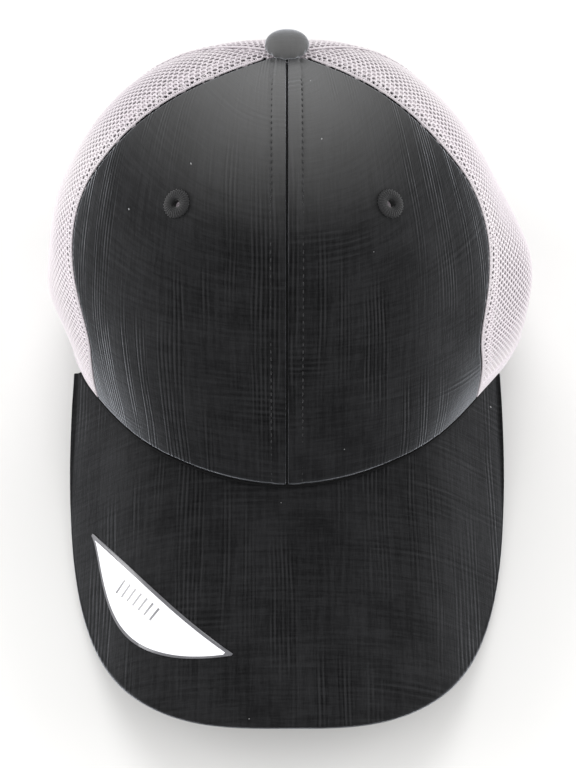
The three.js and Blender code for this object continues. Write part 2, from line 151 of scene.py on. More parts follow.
# Groups of ribs in the cloth: how often they repeat, where they lie and how far their ribs are apart
WARP_REPEAT = 33
WARP_RIBS = ((2, 12), (18, 21.5), (25.5, 30.5))
WARP_RIB_PITCH = 1.5
WEFT_REPEAT = 43
WEFT_RIBS = ((3, 16), (27, 34))
WEFT_RIB_PITCH = 2.3
RIB_GROUP_EDGE = 0.8

# Heights up the front panels between which their cloth is painted lighter: painted light where the top of the
# crown catches the light
PAINTED_LIGHT_HEIGHTS = (85, 165)

# How far the soft crown has slumped sideways where it leans over, and just above the rim
SLUMP_ABOVE = 3.3
SLUMP_BELOW = 3.4

# How far the net stands out over each ear
FLARE_RIGHT = 4.2
FLARE_LEFT = 2.4

# Camera, as the photograph was taken: focal length and shift in pixels, angle over the floor, distance
SENSOR_SIZE = 36
FRAME_LONG_SIDE = 768
FOCAL_PIXELS = 1300
CAMERA_ELEVATION = 56.24
CAMERA_DISTANCE = 472.3
CAMERA_TARGET = (0, -40, 60)
FRAME_SHIFT = (1, -32)

ROOM_LIGHT = 0.78


# The crown's shape

def section_value(values, azimuth, bounded=False):
    """Smooth value between the rim's sections. A bounded one never passes the values given."""
    values = np.array(values, float)
    steps = np.diff(values)
    slopes = np.zeros(len(values))
    slopes[1:-1] = (steps[1:] + steps[:-1]) / 2
    if bounded:
        steepest = 3 * np.minimum(abs(steps[1:]), abs(steps[:-1]))
        turning = steps[1:] * steps[:-1] <= 0
        slopes[1:-1] = np.where(turning, 0, np.clip(slopes[1:-1], -steepest, steepest))
    folded = 180 - abs(180 - abs(np.asarray(azimuth, float)))
    place = np.clip(folded / SECTION_STEP, 0, len(values) - 1 - 1e-9)
    i = place.astype(int)
    u = place - i
    w = 1 - u
    start = values[i] * (1 + 2 * u) * w * w + slopes[i] * u * w * w
    return start + values[i + 1] * u * u * (3 - 2 * u) - slopes[i + 1] * u * u * w


def rim_point(azimuth):
    """The crown's lower edge, an oval that rises towards the front, where the visor is sewn on"""
    sine = np.sin(np.radians(azimuth))
    cosine = np.cos(np.radians(azimuth))
    along = np.where(cosine > 0, RIM_FRONT, RIM_BACK)
    reach = section_value(FULLNESS, azimuth) / np.hypot(cosine / along, sine / RIM_SIDE)
    height = SEAM_HEIGHT * section_value(LIFT, azimuth, bounded=True)
    return np.stack([reach * sine, -reach * cosine, height], -1)


def profile_at(azimuth):
    """Shoulder, foot and bulge of the crown's wall, blended round it"""
    cosine = np.cos(np.radians(azimuth))
    front = np.maximum(cosine, 0) ** 2
    back = np.maximum(-cosine, 0) ** 2
    side = 1 - front - back
    return [front * a + side * b + back * c for a, b, c in zip(*PROFILES)]


def height_share(azimuth, rise):
    """Height over the rim as a share of the whole, from 0 to 1"""
    shoulder, foot, _ = profile_at(azimuth)
    reach = np.clip(np.cos(np.radians(rise)), 1e-9, 1)
    return (1 - reach ** (2 / shoulder)) ** (foot / 2)


def crown_height(azimuth):
    """How far the top of the crown is above the rim"""
    return CROWN_HEIGHT - rim_point(azimuth)[..., 2]


def rise_at_height(azimuth, height):
    """The rise at which the wall reaches a height over the rim"""
    shoulder, foot, _ = profile_at(azimuth)
    share = np.clip(height / crown_height(azimuth), 0, 1)
    return np.degrees(np.arccos((1 - share ** (2 / foot)) ** (shoulder / 2)))


def crown_point(azimuth, rise):
    """A point of the crown's outer surface"""
    azimuth, rise = np.broadcast_arrays(np.asarray(azimuth, float), np.asarray(rise, float))
    rim = rim_point(azimuth)
    bulge = profile_at(azimuth)[2]
    height = height_share(azimuth, rise)
    reach = np.cos(np.radians(rise)) * (1 + bulge * np.sin(np.pi * height))
    inward = np.maximum(1 - reach, 0)
    y = rim[..., 1] * reach + APEX_BACK * (1 - reach) + CROWN_LEAN * height
    level = rim[..., 2] + (CROWN_HEIGHT - rim[..., 2]) * height
    tilt = math.tan(math.radians(APEX_TILT)) * (y - APEX_BACK - CROWN_LEAN) * inward ** 2
    return np.stack([rim[..., 0] * reach, y, level - tilt], -1)


def unit(vectors):
    return vectors / np.linalg.norm(vectors, axis=-1, keepdims=True)


def crown_normal(azimuth, rise):
    step = 0.2
    azimuth, rise = np.broadcast_arrays(np.asarray(azimuth, float), np.asarray(rise, float))
    low = np.maximum(rise - step, 0.02)
    high = np.minimum(rise + step, 89.9)
    around = crown_point(azimuth + step, rise) - crown_point(azimuth - step, rise)
    up = crown_point(azimuth, high) - crown_point(azimuth, low)
    return unit(np.cross(around, up))


def over_crown(azimuth, rise, lift, level=False):
    """A point that is a lift outside the crown's surface. A level one keeps the surface's height."""
    normal = crown_normal(azimuth, rise)
    if level:
        across = np.linalg.norm(normal[..., :2], axis=-1, keepdims=True)
        normal = np.concatenate([normal[..., :2] / across ** 2, np.zeros_like(across)], -1)
    return crown_point(azimuth, rise) + normal * np.asarray(lift, float)[..., None]


def top_rise(azimuth):
    """The rise at which the wall reaches the small hole under the button"""
    rim = rim_point(azimuth)
    return np.degrees(np.arccos(APEX_HOLE_RADIUS / np.hypot(rim[..., 0], rim[..., 1] - APEX_BACK)))


def smoothstep(low, high, x):
    t = np.clip((x - low) / (high - low), 0, 1)
    return t * t * (3 - 2 * t)


def front_seam(rise):
    return np.zeros_like(rise)


def side_seam(rise):
    swing = smoothstep(*SIDE_SEAM_SWING, height_share(SIDE_SEAM, rise))
    return SIDE_SEAM + (SIDE_SEAM_TOP - SIDE_SEAM) * swing


def mesh_seam(rise):
    return np.full_like(rise, MESH_SEAM)


def rear_seam(rise):
    return np.full_like(rise, 180)


def beside(seam, rise, distance):
    """The azimuth that is a distance along the wall from a seam"""
    azimuth = seam(rise)
    ahead = crown_point(azimuth + 0.5, rise)
    speed = np.linalg.norm(ahead - crown_point(azimuth - 0.5, rise), axis=-1)
    return azimuth + np.clip(distance / speed, -24, 24)


class Panel:
    """The crown between two seams, measured along its cloth from the foot of its middle line"""

    def __init__(self, first, last):
        self.first = first
        self.last = last
        self.rises = np.linspace(0, 87.5, 181)
        self.shares = np.linspace(0, 1, 97)
        points = crown_point(self.azimuth(self.shares, self.rises[:, None]), self.rises[:, None])
        steps = np.linalg.norm(np.diff(points, axis=1), axis=-1)
        across = np.concatenate([np.zeros((len(self.rises), 1)), np.cumsum(steps, axis=1)], 1)
        middle = len(self.shares) // 2
        self.widths = across[:, -1]
        self.across = across - across[:, middle:middle + 1]
        climb = np.linalg.norm(np.diff(points[:, middle], axis=0), axis=-1)
        self.up = np.concatenate([[0], np.cumsum(climb)])

    def azimuth(self, share, rise):
        rise = np.asarray(rise, float)
        return self.first(rise) + (self.last(rise) - self.first(rise)) * share

    def rise_at(self, distance):
        return np.interp(distance, self.up, self.rises)

    def measured(self, share, rise):
        """Distances across and up the cloth of points given by share and rise"""
        row = np.interp(rise, self.rises, np.arange(len(self.rises)))
        column = np.clip(share, 0, 1) * (len(self.shares) - 1)
        j = np.minimum(row.astype(int), len(self.rises) - 2)
        i = np.minimum(column.astype(int), len(self.shares) - 2)
        f, g = row - j, column - i
        low = self.across[j, i] * (1 - g) + self.across[j, i + 1] * g
        high = self.across[j + 1, i] * (1 - g) + self.across[j + 1, i + 1] * g
        return low * (1 - f) + high * f, np.interp(rise, self.rises, self.up)

    def located(self, across, up):
        """Share and rise of points given by their distances. Shares under 0 or over 1 are outside."""
        rise = self.rise_at(up)
        width = np.interp(rise, self.rises, self.widths)
        share = 0.5 + across / width
        for _ in range(5):
            share = share + (across - self.measured(share, rise)[0]) / width
        return share, rise


FRONT = Panel(front_seam, side_seam)
SIDE = Panel(side_seam, mesh_seam)
BACK = Panel(mesh_seam, rear_seam)


# The visor's shape

EAR = rim_point(VISOR_EAR)
VISOR_TIP = -(RIM_FRONT + VISOR_LENGTH)
SEAM_LINE = rim_point(np.linspace(0, VISOR_EAR, 200))


def visor_top(x, y, droop):
    """The height of the visor's upper side, which slopes down and curls towards its sides"""
    seam_y = np.interp(abs(x), SEAM_LINE[:, 0], SEAM_LINE[:, 1])
    seam_z = np.interp(abs(x), SEAM_LINE[:, 0], SEAM_LINE[:, 2])
    forward = np.maximum(seam_y - y, 0)
    curl = droop * (x / VISOR_HALF_WIDTH) ** 2 / VISOR_LENGTH
    return seam_z - SEAM_GAP - (math.tan(math.radians(VISOR_SLOPE)) + curl) * forward


def visor_under(x, y, droop):
    """The height of the visor's lower side, a wall below the upper one"""
    step = 0.5
    along_x = (visor_top(x + step, y, droop) - visor_top(x - step, y, droop)) / (2 * step)
    along_y = (visor_top(x, y + step, droop) - visor_top(x, y - step, droop)) / (2 * step)
    return visor_top(x, y, droop) - VISOR_WALL * np.sqrt(1 + along_x ** 2 + along_y ** 2)


def visor_outline(share):
    """A point of the visor's edge, from -1 at the left ear to 1 at the right one"""
    turn = np.radians(90 * abs(share) ** VISOR_SPACING)
    power = 2 / VISOR_SQUARENESS
    x = np.sign(share) * VISOR_HALF_WIDTH * np.sin(turn) ** power
    y = EAR[1] + (VISOR_TIP - EAR[1]) * np.maximum(np.cos(turn), 0) ** power
    return x, y


def resting_droop():
    """The droop at which the sides of the visor just touch the floor"""
    x, y = visor_outline(np.linspace(0, 1, 41))
    low, high = -60, 90
    for _ in range(40):
        middle = (low + high) / 2
        if visor_under(x, y, middle).min() > 0:
            low = middle
        else:
            high = middle
    return low


DROOP = resting_droop()


# Meshes

def outward(vertices, faces):
    """The faces, turned round if they point into the solid"""
    corners = vertices[faces]
    volume = 0
    for k in range(1, faces.shape[1] - 1):
        volume += np.einsum("ij,ij->i", corners[:, 0], np.cross(corners[:, k], corners[:, k + 1])).sum()
    return faces if volume > 0 else faces[:, ::-1]


def slumped(points):
    """The points of the soft crown, moved a little sideways as the cap has settled on the floor,
    with the net standing out over the ears"""
    x, y, z = points[..., 0], points[..., 1], points[..., 2]
    above = (0.55 + 0.45 * smoothstep(-30, 20, y)) * smoothstep(42, 80, z) * smoothstep(8, 60, abs(x))
    below = dip(y, -8, 17) * (1 - smoothstep(26, 60, z)) * smoothstep(40, 80, abs(x))
    flare_right = FLARE_RIGHT * dip(y, 7, 19) * dip(z, 54, 17)
    flare_left = FLARE_LEFT * dip(y, -1, 14) * dip(z, 44, 13)
    moved = points.copy()
    moved[..., 0] += SLUMP_BELOW * below - SLUMP_ABOVE * above
    moved[..., 0] += np.where(x > 0, flare_right, -flare_left) * smoothstep(50, 84, abs(x))
    return moved


def new_piece(
    name, vertices, faces, materials, uv=None, edges=(), face_materials=None, smooth=True, stiff=False,
):
    """A piece from points in millimetres in the solid model's own frame"""
    mesh = bpy.data.meshes.new(name)
    points = np.asarray(vertices, float)
    placed = ((points if stiff else slumped(points)) + CAP_SHIFT) * MM
    mesh.from_pydata(placed.tolist(), [list(map(int, e)) for e in edges], [list(map(int, f)) for f in faces])
    for material in materials:
        mesh.materials.append(material)
    if uv is not None:
        layer = mesh.uv_layers.new(name="UVMap")
        loops = np.empty(len(mesh.loops), int)
        mesh.loops.foreach_get("vertex_index", loops)
        layer.data.foreach_set("uv", np.asarray(uv, float)[loops].ravel())
    if face_materials is not None:
        mesh.polygons.foreach_set("material_index", np.asarray(face_materials, int))
    if smooth and len(faces):
        mesh.shade_smooth()
    piece = bpy.data.objects.new(name, mesh)
    bpy.context.scene.collection.objects.link(piece)
    return piece


def shell(name, outer, inner, uv, materials, keep=None, stiff=False):
    """A closed wall between two grids of points. The second material, if given, is for its inner side."""
    rows, columns = outer.shape[:2]
    count = rows * columns
    vertices = np.concatenate([outer.reshape(-1, 3), inner.reshape(-1, 3)])
    index = np.arange(count).reshape(rows, columns)
    quads = np.stack([index[:-1, :-1], index[:-1, 1:], index[1:, 1:], index[1:, :-1]], -1)
    if keep is None:
        keep = np.ones(quads.shape[:2], bool)
    front = quads[keep]
    directed = np.concatenate([front[:, [k, (k + 1) % 4]] for k in range(4)])
    known = set(map(tuple, directed.tolist()))
    rim = np.array([e for e in directed.tolist() if (e[1], e[0]) not in known])
    side = np.stack([rim[:, 1], rim[:, 0], rim[:, 0] + count, rim[:, 1] + count], -1)
    faces = outward(vertices, np.concatenate([front, front[:, ::-1] + count, side]))
    inside = np.zeros(len(faces), int)
    if len(materials) > 1:
        inside[len(front):2 * len(front)] = 1
    flat = uv.reshape(-1, 2)
    both = np.concatenate([flat, flat])
    piece = new_piece(name, vertices, faces, materials, both, face_materials=inside, stiff=stiff)
    sharpen(piece)
    return piece


def sweep(name, rings, uv, materials, closed=False, stiff=False):
    """A solid through rings of points, each ring a closed loop"""
    stations, sides = rings.shape[:2]
    vertices = rings.reshape(-1, 3)
    index = np.arange(stations * sides).reshape(stations, sides)
    ahead = np.roll(index, -1, axis=0) if closed else index[1:]
    here = index if closed else index[:-1]
    quads = np.stack([here, np.roll(here, -1, 1), np.roll(ahead, -1, 1), ahead], -1).reshape(-1, 4)
    oriented = outward(vertices, quads)
    faces = oriented.tolist()
    if not closed:
        turned = oriented[0][0] != quads[0][0]
        first, last = index[0].tolist(), index[-1].tolist()
        faces.append(first if turned else first[::-1])
        faces.append(last[::-1] if turned else last)
    piece = new_piece(name, vertices, faces, materials, uv.reshape(-1, 2), stiff=stiff)
    sharpen(piece)
    return piece


def sharpen(piece):
    """Keeps the edges of a smooth piece sharp where its faces turn by more than the sharp angle"""
    piece.data.set_sharp_from_angle(angle=math.radians(SHARP_ANGLE))


def wires(name, vertices, edges, stiff=False):
    """Loose edges, for a growth to turn into strands or stitches"""
    return new_piece(name, vertices, [], [], edges=edges, smooth=False, stiff=stiff)


def path_wires(name, paths):
    """One set of wires along several paths of points"""
    edges = []
    total = 0
    for path in paths:
        starts = np.arange(total, total + len(path) - 1)
        edges.append(np.stack([starts, starts + 1], -1))
        total += len(path)
    return wires(name, np.concatenate(paths), np.concatenate(edges))


def sewn(name, paths, stitches, thread, slot="pale_tape"):
    """Rows of stitches along paths"""
    return keep_piece(stitches.grow(path_wires(name, paths), thread), slot)


def corded(name, paths, strands, thread, radius, slot="pale_tape"):
    """Thread laid along paths"""
    return keep_piece(strands.grow(path_wires(name, paths), thread, Radius=radius * MM), slot)


def keep_piece(piece, slot, *nodes):
    """Fixes a piece to the cap and hides the solids that it replaces. Its slot is not used."""
    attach(piece, "root")
    if nodes:
        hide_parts(*nodes)
    return piece


def dip(x, middle, width):
    """1 at the middle, falling smoothly to 0 on both sides of it"""
    return np.exp(-((x - middle) / width) ** 2)


def groove(distance, depth, width):
    """The lift, under 0, of cloth that is pulled in at a seam"""
    return -depth * dip(distance, 0, width)


def spaced(length, pitch):
    """Places along a length, as shares of it, close together at both ends"""
    fine = np.array(EDGE_STEPS)
    middle = np.arange(fine[-1] + pitch, length - fine[-1] - pitch / 2, pitch)
    return np.concatenate([fine, middle, length - fine[::-1]]) / length


# Shader nodes

class Value:
    """A socket of a material's nodes. Arithmetic on it adds Math nodes."""

    def __init__(self, paint, socket):
        self.paint = paint
        self.socket = socket

    def math(self, operation, *others):
        inputs = dict(enumerate((self, *others)))
        return self.paint.node("ShaderNodeMath", {"operation": operation}, inputs)

    def __add__(self, other):
        return self.math("ADD", other)

    def __sub__(self, other):
        return self.math("SUBTRACT", other)

    def __rsub__(self, other):
        return self.paint.node("ShaderNodeMath", {"operation": "SUBTRACT"}, {0: other, 1: self})

    def __mul__(self, other):
        return self.math("MULTIPLY", other)

    def __truediv__(self, other):
        return self.math("DIVIDE", other)

    __radd__ = __add__
    __rmul__ = __mul__

    def fraction(self):
        return self.math("FRACT")

    def cosine(self):
        return self.math("COSINE")

    def between(self, low, high):
        """0 under low, 1 over high and smooth between them. Low may be the larger one."""
        settings = {"interpolation_type": "SMOOTHSTEP"}
        return self.paint.node("ShaderNodeMapRange", settings, {0: self, 1: low, 2: high})

    def within(self, low, high, soft):
        """1 between low and high and 0 elsewhere, with both edges soft inside them"""
        return self.between(low, low + soft) * self.between(high, high - soft)


class Paint:
    """A new material whose nodes are added one at a time to one principled shader"""

    def __init__(self, name, **constants):
        self.material = bpy.data.materials.new(name)
        self.material.use_nodes = True
        self.tree = self.material.node_tree
        self.tree.nodes.clear()
        self.shader = self.tree.nodes.new("ShaderNodeBsdfPrincipled")
        output = self.tree.nodes.new("ShaderNodeOutputMaterial")
        self.tree.links.new(self.shader.outputs[0], output.inputs["Surface"])
        for key, value in constants.items():
            self.shader.inputs[key.replace("_", " ")].default_value = value

    def node(self, kind, settings=None, inputs=None, output=0):
        node = self.tree.nodes.new(kind)
        for key, value in (settings or {}).items():
            setattr(node, key, value)
        for key, value in (inputs or {}).items():
            if isinstance(value, Value):
                self.tree.links.new(value.socket, node.inputs[key])
            else:
                node.inputs[key].default_value = value
        return Value(self, node.outputs[output])

    def feed(self, **values):
        for key, value in values.items():
            self.tree.links.new(value.socket, self.shader.inputs[key.replace("_", " ")])

    def coordinates(self, output):
        return self.node("ShaderNodeTexCoord", output=output)

    def axes(self, where):
        """The first two coordinates of a place"""
        x = self.node("ShaderNodeSeparateXYZ", {}, {0: where})
        return x, Value(self, x.socket.node.outputs[1])

    def noise(self, where, scale, detail=2):
        return self.node("ShaderNodeTexNoise", {}, {"Vector": where, "Scale": scale, "Detail": detail})

    def streaks(self, where, across, up, detail=1):
        """Noise drawn out along one axis, with its scale across and up the cloth"""
        place = self.node("ShaderNodeMapping", {}, {"Vector": where, "Scale": (across, up, 1)})
        return self.noise(place, 1, detail)

    def mix(self, factor, first, second):
        inputs = {0: factor, 6: first, 7: second}
        return self.node("ShaderNodeMix", {"data_type": "RGBA"}, inputs, 2)

    def bump(self, height, distance):
        self.feed(Normal=self.node("ShaderNodeBump", {}, {"Height": height, "Distance": distance}))


def colour(*channels):
    return (*channels, 1)


def crests(place, pitch):
    return (place * (2 * math.pi / pitch)).cosine() * 0.5 + 0.5


def inside_ranges(place, period, ranges):
    """1 where a place, repeated every period, is inside one of the ranges and 0 elsewhere"""
    along = (place / period).fraction() * period
    masks = [along.within(start, end + RIB_GROUP_EDGE, RIB_GROUP_EDGE) for start, end in ranges]
    whole = masks[0]
    for more in masks[1:]:
        whole = whole + more
    return whole


def charcoal_cloth(name, offset, ribs=1, painted_top_light=0, painted_button_light=0):
    """Matt charcoal cloth with groups of fine ribs both ways, placed by a UV map in millimetres"""
    paint = Paint(name, Sheen_Weight=1, Sheen_Roughness=0.31, Specular_IOR_Level=0.09)
    paint.shader.inputs["Sheen Tint"].default_value = colour(0.88, 0.92, 1)
    uv = paint.coordinates("UV")
    moved = paint.node("ShaderNodeMapping", {}, {"Vector": uv, "Location": (*offset, 0)})
    across, up = paint.axes(moved)
    wander = paint.streaks(moved, 0.055, 0.02)
    drift = paint.streaks(moved, 0.02, 0.055)
    column = across + wander * 3.4
    row = up + drift * 4
    warp_fade = paint.streaks(moved, 0.028, 0.014).between(0.4, 0.58)
    weft_fade = paint.streaks(moved, 0.013, 0.03).between(0.5, 0.64)
    warp = inside_ranges(column, WARP_REPEAT, WARP_RIBS) * warp_fade
    weft = inside_ranges(row, WEFT_REPEAT, WEFT_RIBS) * weft_fade
    warp_slubs = paint.streaks(moved, 0.8, 0.05, 2)
    weft_slubs = paint.streaks(moved, 0.05, 0.8, 2)
    slubs = (warp_slubs + weft_slubs) * 0.5
    warp_line = (crests(column, WARP_RIB_PITCH) - 0.5) * warp * warp_slubs.between(0.25, 0.6)
    weft_line = (crests(row, WEFT_RIB_PITCH) - 0.5) * weft * weft_slubs.between(0.25, 0.6)
    lines = (warp_line + weft_line * 0.6) * ribs
    warp_threads = paint.streaks(moved, 3.4, 0.3, 2)
    weft_threads = paint.streaks(moved, 0.3, 3.4, 2)
    weave = (warp_threads + weft_threads) * 0.5
    patches = paint.noise(moved, 0.05, 3).between(0.3, 0.7)
    depth = weave.between(0.36, 0.66) * 0.3 + slubs.between(0.38, 0.62) * 0.36
    depth = depth + patches * 0.28 + lines * 0.9
    base = paint.mix(depth, colour(0.0004, 0.0004, 0.0006), colour(0.0155, 0.0157, 0.0168))
    # Painted light: the cloth is mixed towards pale grey higher up the front panels, and by a fixed share on
    # the button's cloth, standing in for the light on the top of the crown
    height = paint.axes(uv)[1]
    with_painted_light = paint.mix(height.between(*PAINTED_LIGHT_HEIGHTS) * painted_top_light + painted_button_light, base, colour(0.2, 0.2, 0.2))
    specks = paint.node("ShaderNodeTexVoronoi", {}, {"Vector": moved, "Scale": 0.07})
    lint = specks.between(0.026, 0.015)
    paint.feed(Base_Color=paint.mix(lint * 0.7, with_painted_light, colour(0.36, 0.36, 0.36)))
    paint.feed(Roughness=0.8 - lines * 0.2 - weave * 0.1)
    paint.bump(lines * 0.7 + slubs * 0.7 + weave * 0.6 + lint * 0.8, 0.00026)
    return paint.material


def charcoal_thread(name, shade=1):
    paint = Paint(name, Sheen_Weight=0.25 * shade, Sheen_Roughness=0.35, Specular_IOR_Level=0.2 * shade)
    where = paint.coordinates("Object")
    fibres = paint.noise(where, 2600, 3)
    dark = [shade * v for v in (0.006, 0.006, 0.0065)]
    light = [shade * v for v in (0.03, 0.0305, 0.032)]
    paint.feed(Base_Color=paint.mix(fibres, colour(*dark), colour(*light)))
    paint.feed(Roughness=0.45 + fibres * 0.3)
    paint.bump(fibres, 0.00008)
    return paint.material


def pale_net(name):
    paint = Paint(name, Sheen_Weight=0.3, Sheen_Roughness=0.5, Specular_IOR_Level=0.4)
    where = paint.coordinates("Object")
    fibres = paint.noise(where, 3200, 3)
    clouds = paint.noise(where, 30, 2).between(0.3, 0.7)
    light = paint.mix(clouds, colour(0.585, 0.541, 0.572), colour(0.63, 0.594, 0.611))
    paint.feed(Base_Color=paint.mix(fibres * 0.45, light, colour(0.54, 0.49, 0.53)))
    paint.feed(Roughness=0.5 + fibres * 0.25)
    paint.bump(fibres, 0.00010)
    return paint.material


def pale_tape(name, light, dark):
    """Woven tape with fine ribs across it, placed by a UV map in millimetres"""
    paint = Paint(name, Sheen_Weight=0.35, Sheen_Roughness=0.5, Specular_IOR_Level=0.35)
    uv = paint.coordinates("UV")
    along, across = paint.axes(uv)
    weave = (along * (2 * math.pi / 0.9)).cosine() * (across * (2 * math.pi / 0.7)).cosine() * 0.5 + 0.5
    clouds = paint.noise(uv, 0.09, 3)
    paint.feed(Base_Color=paint.mix(weave * 0.5 + clouds * 0.4, colour(*dark), colour(*light)))
    paint.feed(Roughness=0.62 + clouds * 0.2)
    paint.bump(weave, 0.00018)
    return paint.material


def strap_plastic(name):
    paint = Paint(name, Specular_IOR_Level=0.5)
    where = paint.coordinates("Object")
    grain = paint.noise(where, 900, 3)
    clouds = paint.noise(where, 60, 2)
    paint.feed(Base_Color=paint.mix(clouds, colour(0.50, 0.46, 0.50), colour(0.57, 0.53, 0.57)))
    paint.feed(Roughness=0.34 + grain * 0.16)
    paint.bump(grain, 0.00004)
    return paint.material


def label_film(name):
    """Smooth white film with a short row of plain marks, placed by a UV map in millimetres"""
    paint = Paint(name, Coat_Weight=0.35, Coat_Roughness=0.12, Specular_IOR_Level=0.5)
    uv = paint.coordinates("UV")
    along, across = paint.axes(uv)
    step = (along / MARK_PITCH).fraction() * MARK_PITCH
    stroke = step.within(*MARK_STROKE, MARK_EDGE)
    row = along.within(*MARK_ROW, MARK_EDGE)
    height = across.within(*MARK_HEIGHTS, MARK_EDGE)
    clouds = paint.noise(uv, 0.12, 2)
    film = paint.mix(clouds, colour(0.82, 0.82, 0.87), colour(0.87, 0.87, 0.91))
    paint.feed(Base_Color=paint.mix(stroke * row * height, film, colour(0.16, 0.16, 0.17)))
    paint.feed(Roughness=0.22 + clouds * 0.16)
    return paint.material


def label_border(name):
    paint = Paint(name, Coat_Weight=0.4, Coat_Roughness=0.15)
    where = paint.coordinates("Object")
    clouds = paint.noise(where, 220, 2)
    paint.feed(Base_Color=paint.mix(clouds, colour(0.07, 0.07, 0.078), colour(0.11, 0.11, 0.12)))
    paint.feed(Roughness=0.3 + clouds * 0.2)
    return paint.material


def floor_paper(name):
    paint = Paint(name, Specular_IOR_Level=0.2)
    where = paint.coordinates("Object")
    grain = paint.noise(where, 6, 3)
    paint.feed(Base_Color=paint.mix(grain, colour(0.685, 0.682, 0.677), colour(0.705, 0.702, 0.697)))
    paint.feed(Roughness=0.85 + grain * 0.1)
    return paint.material


# Geometry nodes

class Growth:
    """A geometry node tree with named inputs, which turns one piece into what repeats along it"""

    def __init__(self, name, **sizes):
        self.tree = bpy.data.node_groups.new(name, "GeometryNodeTree")
        face = self.tree.interface
        face.new_socket(name="Geometry", in_out="INPUT", socket_type="NodeSocketGeometry")
        for key, value in sizes.items():
            socket = face.new_socket(name=key, in_out="INPUT", socket_type="NodeSocketFloat")
            socket.default_value = value
        face.new_socket(name="Material", in_out="INPUT", socket_type="NodeSocketMaterial")
        face.new_socket(name="Geometry", in_out="OUTPUT", socket_type="NodeSocketGeometry")
        self.start = self.tree.nodes.new("NodeGroupInput")
        self.end = self.tree.nodes.new("NodeGroupOutput")

    def node(self, kind, settings=None, inputs=None):
        node = self.tree.nodes.new(kind)
        for key, value in (settings or {}).items():
            setattr(node, key, value)
        for key, value in (inputs or {}).items():
            if isinstance(value, bpy.types.NodeSocket):
                self.tree.links.new(value, node.inputs[key])
            else:
                node.inputs[key].default_value = value
        return node

    def given(self, name):
        return self.start.outputs[name]

    def finish(self, geometry):
        whole = self.node("GeometryNodeRealizeInstances", inputs={0: geometry})
        smooth = self.node("GeometryNodeSetShadeSmooth", inputs={0: whole.outputs[0]})
        inputs = {0: smooth.outputs[0], "Material": self.given("Material")}
        painted = self.node("GeometryNodeSetMaterial", inputs=inputs)
        self.tree.links.new(painted.outputs[0], self.end.inputs[0])

    def grow(self, piece, material, **sizes):
        """Replaces the piece's mesh by what the tree makes of it"""
        modifier = piece.modifiers.new("Growth", "NODES")
        modifier.node_group = self.tree
        inputs = {s.name: s.identifier for s in self.tree.interface.items_tree if s.in_out == "INPUT"}
        modifier[inputs["Material"]] = material
        for key, value in sizes.items():
            modifier[inputs[key]] = float(value)
        evaluated = piece.evaluated_get(bpy.context.evaluated_depsgraph_get())
        mesh = bpy.data.meshes.new_from_object(evaluated)
        piece.modifiers.remove(modifier)
        piece.data = mesh
        return piece


def strand_growth():
    """Turns edges into thin round strands"""
    growth = Growth("Strands", Radius=NET_STRAND * MM)
    path = growth.node("GeometryNodeMeshToCurve", inputs={0: growth.given("Geometry")})
    section_inputs = {"Resolution": 5, "Radius": growth.given("Radius")}
    section = growth.node("GeometryNodeCurvePrimitiveCircle", {"mode": "RADIUS"}, section_inputs)
    tube_inputs = {"Curve": path.outputs[0], "Profile Curve": section.outputs[0], "Fill Caps": True}
    tube = growth.node("GeometryNodeCurveToMesh", inputs=tube_inputs)
    growth.finish(tube.outputs[0])
    return growth


def stitch_growth():
    """Lays separate stitches along edges, turned across them where Turn isn't 0"""
    growth = Growth(
        "Stitches", Pitch=STITCH_PITCH * MM, Length=STITCH_LENGTH * MM,
        Width=2 * THREAD * MM, Height=2 * THREAD * MM, Turn=0.0,
    )
    path = growth.node("GeometryNodeMeshToCurve", inputs={0: growth.given("Geometry")})
    even = growth.node("GeometryNodeResampleCurve", {"mode": "LENGTH"})
    growth.tree.links.new(path.outputs[0], even.inputs["Curve"])
    growth.tree.links.new(growth.given("Pitch"), even.inputs["Length"])
    tangent = growth.node("GeometryNodeInputTangent")
    aligned = growth.node("FunctionNodeAlignRotationToVector", {"axis": "X"}, {"Vector": tangent.outputs[0]})
    turn = growth.node("ShaderNodeCombineXYZ", inputs={"Z": growth.given("Turn")})
    turned = growth.node("FunctionNodeRotateRotation", {"rotation_space": "LOCAL"})
    growth.tree.links.new(aligned.outputs[0], turned.inputs[0])
    growth.tree.links.new(turn.outputs[0], turned.inputs[1])
    bead = growth.node("GeometryNodeMeshUVSphere", inputs={"Segments": 8, "Rings": 6, "Radius": 0.5})
    size_inputs = {key: growth.given(name) for key, name in zip("XYZ", ("Length", "Width", "Height"))}
    size = growth.node("ShaderNodeCombineXYZ", inputs=size_inputs)
    placed = growth.node("GeometryNodeInstanceOnPoints")
    growth.tree.links.new(even.outputs[0], placed.inputs["Points"])
    growth.tree.links.new(bead.outputs["Mesh"], placed.inputs["Instance"])
    growth.tree.links.new(turned.outputs[0], placed.inputs["Rotation"])
    growth.tree.links.new(size.outputs[0], placed.inputs["Scale"])
    growth.finish(placed.outputs[0])
    return growth


# Pieces

